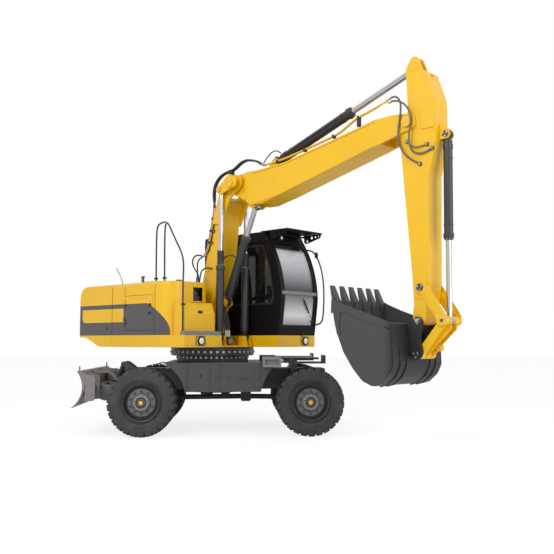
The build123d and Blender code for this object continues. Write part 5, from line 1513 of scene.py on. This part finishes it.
def makeSeams():
    # weld lines and pin boss on the outer boom's knee
    bm = bmesh.new()
    for side in (-1, 1):
        y = boomPlane + side * 0.2002
        for a, b in (((1.029, 4.177), (0.997, 3.989)), ((0.997, 3.989), (0.9, 3.85))):
            addRod(bm, (a[0] + 0.03, y, a[1] - 0.01), (b[0] + 0.05, y, b[1]), 0.004, 8)
        addRod(bm, (1.02, y - side * 0.002, 3.786), (1.02, y + side * 0.01, 3.786), 0.055, 28)
    makePiece("kneeSeams", bm, "bodyYellow", "outer_boom", bevel=0.002)
    # bosses down the stick's sides
    bm = bmesh.new()
    for side in (-1, 1):
        y = boomPlane + side * 0.165
        for x, z, r in ((4.24, 2.86, 0.018), (4.25, 2.7, 0.012), (4.2, 3.35, 0.016), (4.2, 3.25, 0.012)):
            addRod(bm, (x, y - side * 0.001, z), (x, y + side * 0.006, z), r, 16)
    makePiece("stickBosses", bm, "bodyYellow", "stick", bevel=0.0015)


dusty = Finish("hoseGrey", tone(92, 84, 76), 0.55)
dusty.colour(dusty.mix(dusty.noise(9.0, 4.0), tone(76, 70, 64), tone(122, 112, 100)))
dusty.bump(dusty.noise(220.0, 2.0), 0.2, 0.002)
finishes["hoseGrey"] = dusty
makeGlands()
makeSleeves()
makePinCovers()
makeBoomPipes()
makeTopPipes()
makeHoses()
makeSeams()
print("booms and hoses made")


# ---- upper structure: seams, step, grille, outlet, caps, rails, latches
# dark shut lines and recesses on the right side, the left side, the hood's top, and small plates
rightLines = [((-1.138, 1.58), (-1.132, 2.36)), ((-0.008, 1.58), (-0.002, 2.36)),
    ((-0.789, 2.21), (-0.783, 2.36))]
leftLines = [((-1.138, 1.58), (-1.132, 2.36)), ((-0.62, 1.6), (-0.614, 2.36))]
lineBoxes = [
    *(((x0, -1.2525, z0), (x1, -1.249, z1)) for (x0, z0), (x1, z1) in rightLines),
    *(((x0, 1.249, z0), (x1, 1.2525, z1)) for (x0, z0), (x1, z1) in leftLines),
    *(((x, -1.18, 2.418), (x + 0.006, 1.18, 2.4225)) for x in (-1.138, -0.786)),
    ((-0.15, -1.254, 1.895), (-0.095, -1.249, 1.935)), ((0.3485, -0.79, 2.08), (0.352, -0.53, 2.09)),
    ((-1.3, -1.254, 1.66), (-1.26, -1.249, 1.7)),
]
upperBoxes = {
    "hoodSeams": ("plasticBlack", 0.0, lineBoxes),
    "stepStrip": ("barGrey", 0.004, [((0.602, -1.25, 1.556), (0.712, -0.48, 1.618))]
        + [((0.612, y, 1.616), (0.702, y + 0.012, 1.622)) for y in (-1.22 + 0.05 * i for i in range(15))]),
    "hoodOutlet": ("plasticBlack", 0.012, [((-1.085, -0.715, 2.416), (-0.745, -0.565, 2.478))]),
    "grillePlate": ("plasticBlack", 0.0, [((-1.065, 1.2495, 1.66), (-0.67, 1.253, 2.29))]),
    "toolboxLatch": ("plasticBlack", 0.004, [((0.5985, -0.875, 1.905), (0.606, -0.785, 1.945)),
        ((0.604, -0.86, 1.912), (0.616, -0.8, 1.924))]),
    "valveBlock": ("darkSteel", 0.006, [((0.236, -0.74, 2.12), (0.3, -0.58, 2.2)),
        ((0.236, -0.7, 2.2), (0.285, -0.6, 2.27))]),
    "frontBracket": ("plasticBlack", 0.006, [((1.0, 0.99, 1.56), (1.12, 1.02, 1.585)),
        ((1.205, 0.9, 1.555), (1.235, 0.93, 1.6))]),
    "frameVent": ("barGrey", 0.003, [((0.7095, -0.31, 1.43), (0.7135, -0.24, 1.5))]),
    "railClamps": ("plasticBlack", 0.005, [((0.115, -1.205, 2.45), (0.165, -1.155, 2.48)),
        ((-0.095, -1.205, 2.45), (-0.045, -1.155, 2.48)), ((0.562, -1.2, 2.02), (0.608, -1.148, 2.05))]),
}


# upright rods as (x, y, foot, top, radius, sides, tip radius)
capRods = [(-0.64, -1.0, 2.415, 2.53, 0.024, 20, 0.024), (-0.64, -1.0, 2.525, 2.548, 0.036, 24, 0.03),
    (0.16, -0.9, 2.415, 2.438, 0.058, 28, 0.058), (0.16, -0.9, 2.436, 2.452, 0.048, 10, 0.044),
    *((0.295, y, 2.295, 2.325, 0.013, 6, 0.013) for y in (-0.72, -0.68, -0.64, -0.6)),
    (0.27, -0.66, 2.26, 2.29, 0.02, 12, 0.02)]
antennaLine = [(-1.184, -1.0, 2.41), (-1.19, -1.0, 2.47), (-1.26, -1.0, 2.6), (-1.382, -1.0, 2.726)]
# (x, z) lines of the two rails over the tank; the hoop beside the cab is in x, y, z
tankRailY, hoopY = -1.18, 1.292
tankRails = [
    [(-0.07, 2.41), (-0.072, 2.8), (-0.075, 3.22), (-0.05, 3.315), (0.02, 3.36), (0.15, 3.362)],
    [(0.14, 2.41), (0.135, 2.8), (0.13, 3.24), (0.155, 3.335), (0.205, 3.352), (0.31, 3.19), (0.42, 3.02),
        (0.54, 2.853), (0.59, 2.72), (0.597, 2.6), (0.585, 2.44), (0.585, 2.0), (0.585, 1.61)],
]
hoopLine = [(1.06, 3.046), (1.17, 3.01), (1.26, 2.88), (1.36, 2.64), (1.394, 2.3), (1.376, 1.96), (1.35, 1.8),
    (1.29, 1.762), (1.2, 1.742)]
cabHoop = [(1.0, 1.24, 3.05), (1.01, hoopY - 0.004, 3.05), *((x, hoopY, z) for x, z in hoopLine),
    (1.18, hoopY - 0.01, 1.74), (1.18, 1.24, 1.74)]
frameBoltSpots = [*((0.7105, y, 1.4) for y in (-1.18, -1.06, -0.78, -0.56)),
    *((1.2105, y, z) for y in (0.42, 1.18) for z in (1.4, 1.53))]


# a latch: body, corners of its plate, then x and the two y of its lock, bevel
latches = {
    "cabDoorLatch": ("cab_door", (0.8, 1.2495, 2.1), (0.9, 1.261, 2.15), 0.87, 1.258, 1.268, 0.003),
    "serviceLatch": ("service_door", (-0.16, -1.256, 2.02), (-0.1, -1.248, 2.07), -0.13, -1.255, -1.2605,
                     0.002),
}


def makeUpperTrim():
    makeBoxes(upperBoxes, "upper")
    # slats over the left grille and on top of the outlet
    bm = bmesh.new()
    for z in (1.685 + 0.0465 * i for i in range(13)):
        addPlate(bm, [(-1.055, z), (-0.68, z), (-0.68, z + 0.006), (-1.055, z + 0.006)], 1.2525, 1.264)
    for x in (-1.065 + 0.048 * i for i in range(7)):
        addPlate(bm, [(x, 2.477), (x + 0.006, 2.477), (x + 0.02, 2.487), (x + 0.014, 2.487)], -0.705, -0.575)
    makePiece("grilleSlats", bm, "plasticBlack", "upper")
    bm = bmesh.new()
    for x, y, foot, top, radius, sides, tip in capRods:
        addRod(bm, (x, y, foot), (x, y, top), radius, sides, tip)
    makePiece("fillerCaps", bm, "darkSteel", "upper", bevel=0.002)
    makeHosePiece("antenna", [antennaLine], 0.006, "plasticBlack", "upper")
    # lifting eyes on the counterweight
    bm = bmesh.new()
    for y in (-0.55, 0.55):
        for z, half, radius, sides in ((2.425, 0.012, 0.055, 24), (2.44, 0.016, 0.026, 20)):
            addRod(bm, (-1.7, y - half, z), (-1.7, y + half, z), radius, sides)
    makePiece("weightEyes", bm, "bodyYellow", "upper", bevel=0.002)
    makeBolts("frameBolts", [(spot, (1, 0, 0)) for spot in frameBoltSpots], 0.011, 0.008, "boltSteel", "upper")
    runs = [[(x, tankRailY, z) for x, z in line] for line in tankRails] + [cabHoop]
    rails = makeHosePiece("rails", runs, 0.0135, "railBlack", "upper")
    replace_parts(rails, "handrails")
    # door latches: a plate and a round lock
    for name, (body, low, high, x, near, far, bevel) in latches.items():
        bm = bmesh.new()
        addBox(bm, low, high)
        z = (low[2] + high[2]) / 2
        addRod(bm, (x, near, z), (x, far, z), 0.016, 20)
        makePiece(name, bm, "plasticBlack", body, bevel=bevel)


# ---- arm: flanges, guard plates, curved links, bucket bands
def addPair(bm, outline, near, far):
    # the same plate on both sides of the boom's plane
    for side in (-1, 1):
        addPlate(bm, outline, boomPlane + side * near, boomPlane + side * far)


# (x, z) outlines: edges of the outer boom, plates of the stick, the links and the bucket
lowEdge = ((1.23, 3.634), (1.75, 3.712), (3.41, 4.132), (3.56, 4.17))
highEdge = ((1.2, 4.16), (1.885, 4.206), (3.36, 4.495), (3.56, 4.54))
stickPlates = (([(4.3, 4.285), (4.497, 4.285), (4.497, 4.64), (4.3, 4.56)], 0.181),
    ([(4.15, 2.02), (4.335, 2.02), (4.36, 2.3), (4.345, 2.42), (4.165, 2.42)], 0.171))
armPlates = {
    "rockerPlates": ("rocker", 0.1915, 0.01, [(4.19, 2.235), (4.33, 2.245), (4.47, 2.06), (4.64, 1.8),
        (4.645, 1.69), (4.56, 1.655), (4.5, 1.69), (4.47, 1.83), (4.32, 2.06), (4.185, 2.115)]),
    "linkPlates": ("bucket_link", 0.062, 0.014, [(4.513, 1.792), (4.637, 1.792), (4.647, 1.625), (4.45, 1.443),
        (4.272, 1.253), (4.2, 1.231), (4.15, 1.283), (4.19, 1.355), (4.335, 1.483), (4.513, 1.62)]),
}
bucketSides = ([(3.15, 2.004), (4.06, 1.692), (4.056, 1.61), (3.145, 1.912)],
    [(3.15, 1.912), (3.27, 1.872), (3.235, 1.7), (3.255, 1.54), (3.2, 1.56), (3.152, 1.75)],
    roundedBox([(3.96, 1.66), (4.052, 1.64), (4.075, 1.48), (4.086, 1.15), (4.02, 1.04), (3.97, 1.1),
    (4.0, 1.4)], 0.02))
bucketBand = [(4.06, 1.69), (4.095, 1.48), (4.11, 1.15), (4.04, 1.0), (3.9, 0.89), (3.78, 0.86), (3.78, 0.88),
    (4.02, 1.03), (4.08, 1.15), (4.07, 1.48)]


def makeArmTrim():
    bm = bmesh.new()
    for edge, up in ((lowEdge, 0.024), (highEdge, -0.024)):
        for a, b in zip(edge, edge[1:]):
            addPair(bm, [a, b, (b[0], b[1] + up), (a[0], a[1] + up)], 0.2004, 0.214)
    makePiece("boomFlanges", bm, "bodyYellow", "outer_boom", bevel=0.002)
    bm = bmesh.new()
    for outline, far in stickPlates:
        addPair(bm, roundedBox(outline, 0.02), 0.1655, far)
    makePiece("stickGuards", bm, "bodyYellow", "stick", bevel=0.002)
    for name, (body, reach, thick, outline) in armPlates.items():
        bm = bmesh.new()
        addPair(bm, roundedBox(outline, 0.045), reach, reach + thick)
        makePiece(name, bm, "bodyYellow", body, bevel=0.003)
    bm = bmesh.new()
    for outline in bucketSides:
        addPair(bm, outline, 0.6, 0.611)
    for y in (-0.52, -0.37, 0.21, 0.36):
        addPlate(bm, bucketBand, y - 0.008, y + 0.008)
    makePiece("bucketBands", bm, "bucketGrey", "bucket", bevel=0.002)
    teeth = [boomPlane + (-0.525 + 0.21 * i) - 0.0455 for i in range(6)]
    makeBolts("toothPins", [((3.128, y, 1.93), (0, -1, 0)) for y in teeth], 0.014, 0.006, "boltSteel", "bucket")
    # pipes beside the stick and bucket rams
    for name, near, far in (("stick", 0.1, 1.5), ("bucket", 0.1, 1.34)):
        ram = rams[name]
        side = ram["y"] - ram["radius"]
        run = [(alongRam(ram, reach), y) for reach, y in ((near, side + 0.004), (near + 0.03, side - 0.018),
            (far - 0.03, side - 0.018), (far, side + 0.004))]
        makeHosePiece(name + "RamPipe", [[(p.x, y, p.z) for p, y in run]], 0.0085, "ramGrey", ram["body"])


# ---- undercarriage: latches, ribs and bolts of the side boxes, lines below
boxSide = 1.1005
latchBoxes = [((-0.16, s * boxSide - 0.003, 0.885), (-0.13, s * boxSide + 0.003, 0.955)) for s in (-1, 1)]
gapBoxes = [((x, s * boxSide - 0.0015, 1.085), (x + 0.36, s * boxSide + 0.0015, 1.089)) for s in (-1, 1)
            for x in (-0.34, 0.1)]
ribBoxes = [((x, s * 1.104 - 0.007, 0.69), (x + 0.022, s * 1.104 + 0.007, 1.12)) for s in (-1, 1)
            for x in (-0.372, -0.02, 0.15, 0.762)]
chassisBoxes = {
    "boxLatches": ("plasticBlack", 0.003, [*latchBoxes, *gapBoxes]),
    "boxRibs": ("frameGrey", 0.004, ribBoxes),
    "lowBlock": ("plasticBlack", 0.008, [((0.16, -0.42, 0.56), (0.3, -0.3, 0.682)),
        ((-0.18, -0.36, 0.6), (0.02, -0.3, 0.682))]),
    "axleFittings": ("boltSteel", 0.004, [((-0.62, -0.42, 1.018), (-0.56, -0.36, 1.07)),
        ((-0.74, -0.34, 1.018), (-0.7, -0.3, 1.05)), ((-0.52, -0.28, 1.018), (-0.46, -0.24, 1.04))]),
    "deckLine": ("frameGrey", 0.002, [((-1.4, y, 1.004), (-0.38, y + 0.009, 1.024)) for y in (-0.308, 0.299)]),
}
boxBoltSpots = ((-0.33, 1.04), (0.7, 1.04), (-0.33, 0.75), (0.7, 0.75), (-0.24, 0.9), (0.42, 0.9))
lowLine = [(-0.36, 0.665), (-0.2, 0.64), (0.1, 0.632), (0.36, 0.645), (0.6, 0.668)]
axleRuns = [[(-0.58, -0.38, 1.06), (-0.68, -0.42, 1.12), (-0.84, -0.44, 1.13), (-0.96, -0.42, 1.06),
    (-1.02, -0.38, 1.01)], [(-0.72, -0.32, 1.045), (-0.82, -0.34, 1.085), (-0.94, -0.34, 1.04)]]


def makeChassisTrim():
    makeBoxes(chassisBoxes, "chassis", turned=False)
    lowRuns = [[(x, y, z) for x, z in lowLine] for y in (-0.44, -0.47)]
    for name, runs, radius in (("lowLines", lowRuns, 0.011), ("axleLines", axleRuns, 0.01)):
        makeHosePiece(name, runs, radius, "hoseRubber", "chassis", turned=False)
    spots = [((x, s * boxSide, z), (0, s, 0)) for s in (-1, 1) for x, z in boxBoltSpots]
    makeBolts("boxBolts", spots, 0.011, 0.008, "axleGrey", "chassis", turned=False)


makeUpperTrim()
makeArmTrim()
makeChassisTrim()
print("upper, arm and chassis trim made")


# ---- stage: pale floor, soft studio light, camera
stageSizes = {"floorHalf": 60.0, "floorTone": 0.86, "floorGlow": 1.14, "floorSeen": 0.72, "worldStrength": 0.6,
    "worldTone": (0.95, 0.97, 1.0, 1)}


def makeStage():
    floorMesh = bpy.data.meshes.new("floor")
    half = stageSizes["floorHalf"]
    floorMesh.from_pydata([(-half, -half, 0), (half, -half, 0), (half, half, 0), (-half, half, 0)], [],
        [(0, 1, 2, 3)])
    floor = linked("floor", floorMesh)
    made = Finish("floorPaint", (stageSizes["floorTone"],) * 3, 0.9)
    glow = made.node("ShaderNodeEmission", Color=(1, 1, 1), Strength=stageSizes["floorGlow"])
    rays = made.tree.nodes.new("ShaderNodeLightPath")
    seen = Flow(made.tree, rays.outputs["Is Camera Ray"]) * stageSizes["floorSeen"]
    blend = made.node("ShaderNodeMixShader", at0=seen, at1=Flow(made.tree, made.shader.outputs[0]), at2=glow)
    join(made.tree, made.tree.nodes["Material Output"].inputs["Surface"], blend)
    floorMesh.materials.append(made.material)

    world = bpy.data.worlds.new("studio")
    world.use_nodes = True
    tree = world.node_tree
    back = tree.nodes["Background"]
    back.inputs["Color"].default_value = stageSizes["worldTone"]
    back.inputs["Strength"].default_value = stageSizes["worldStrength"]
    white = addNode(tree, "ShaderNodeBackground", Color=(1, 1, 1), Strength=1.0)
    rays = tree.nodes.new("ShaderNodeLightPath")
    camera, through, mirrored = (Flow(tree, rays.outputs[f"Is {kind} Ray"])
        for kind in ("Camera", "Transmission", "Glossy"))
    mixer = addNode(tree, "ShaderNodeMixShader", at0=camera.most(through).most(mirrored),
        at1=Flow(tree, back.outputs[0]), at2=white)
    join(tree, tree.nodes["World Output"].inputs["Surface"], mixer)
    scene.world = world


def addLamp(name, where, aim, power, size):
    data = bpy.data.lights.new(name, "AREA")
    data.energy = power
    data.size = size
    lamp = linked(name, data)
    lamp.location = where
    lamp.rotation_euler = (Vector(aim) - Vector(where)).to_track_quat("-Z", "Y").to_euler()


def makeCamera():
    view = {"from": (0.453, -13.25, 1.47), "pan": 2.77, "tilt": 4.715, "lens": 50.36}
    data = bpy.data.cameras.new("camera")
    data.lens = view["lens"]
    data.sensor_width = 36
    data.clip_end = 200
    camera = linked("camera", data)
    camera.location = view["from"]
    camera.rotation_euler = (math.radians(90 + view["tilt"]), 0, math.radians(-view["pan"]))
    scene.camera = camera


makeStage()
addLamp("keyLamp", (-6.0, -11.0, 9.0), (0.5, 0, 2.0), 860, 6.0)
addLamp("fillLamp", (9.0, -9.0, 5.0), (1.0, 0, 2.2), 420, 7.0)
makeCamera()
scene.view_settings.view_transform = "Standard"
print("stage set")
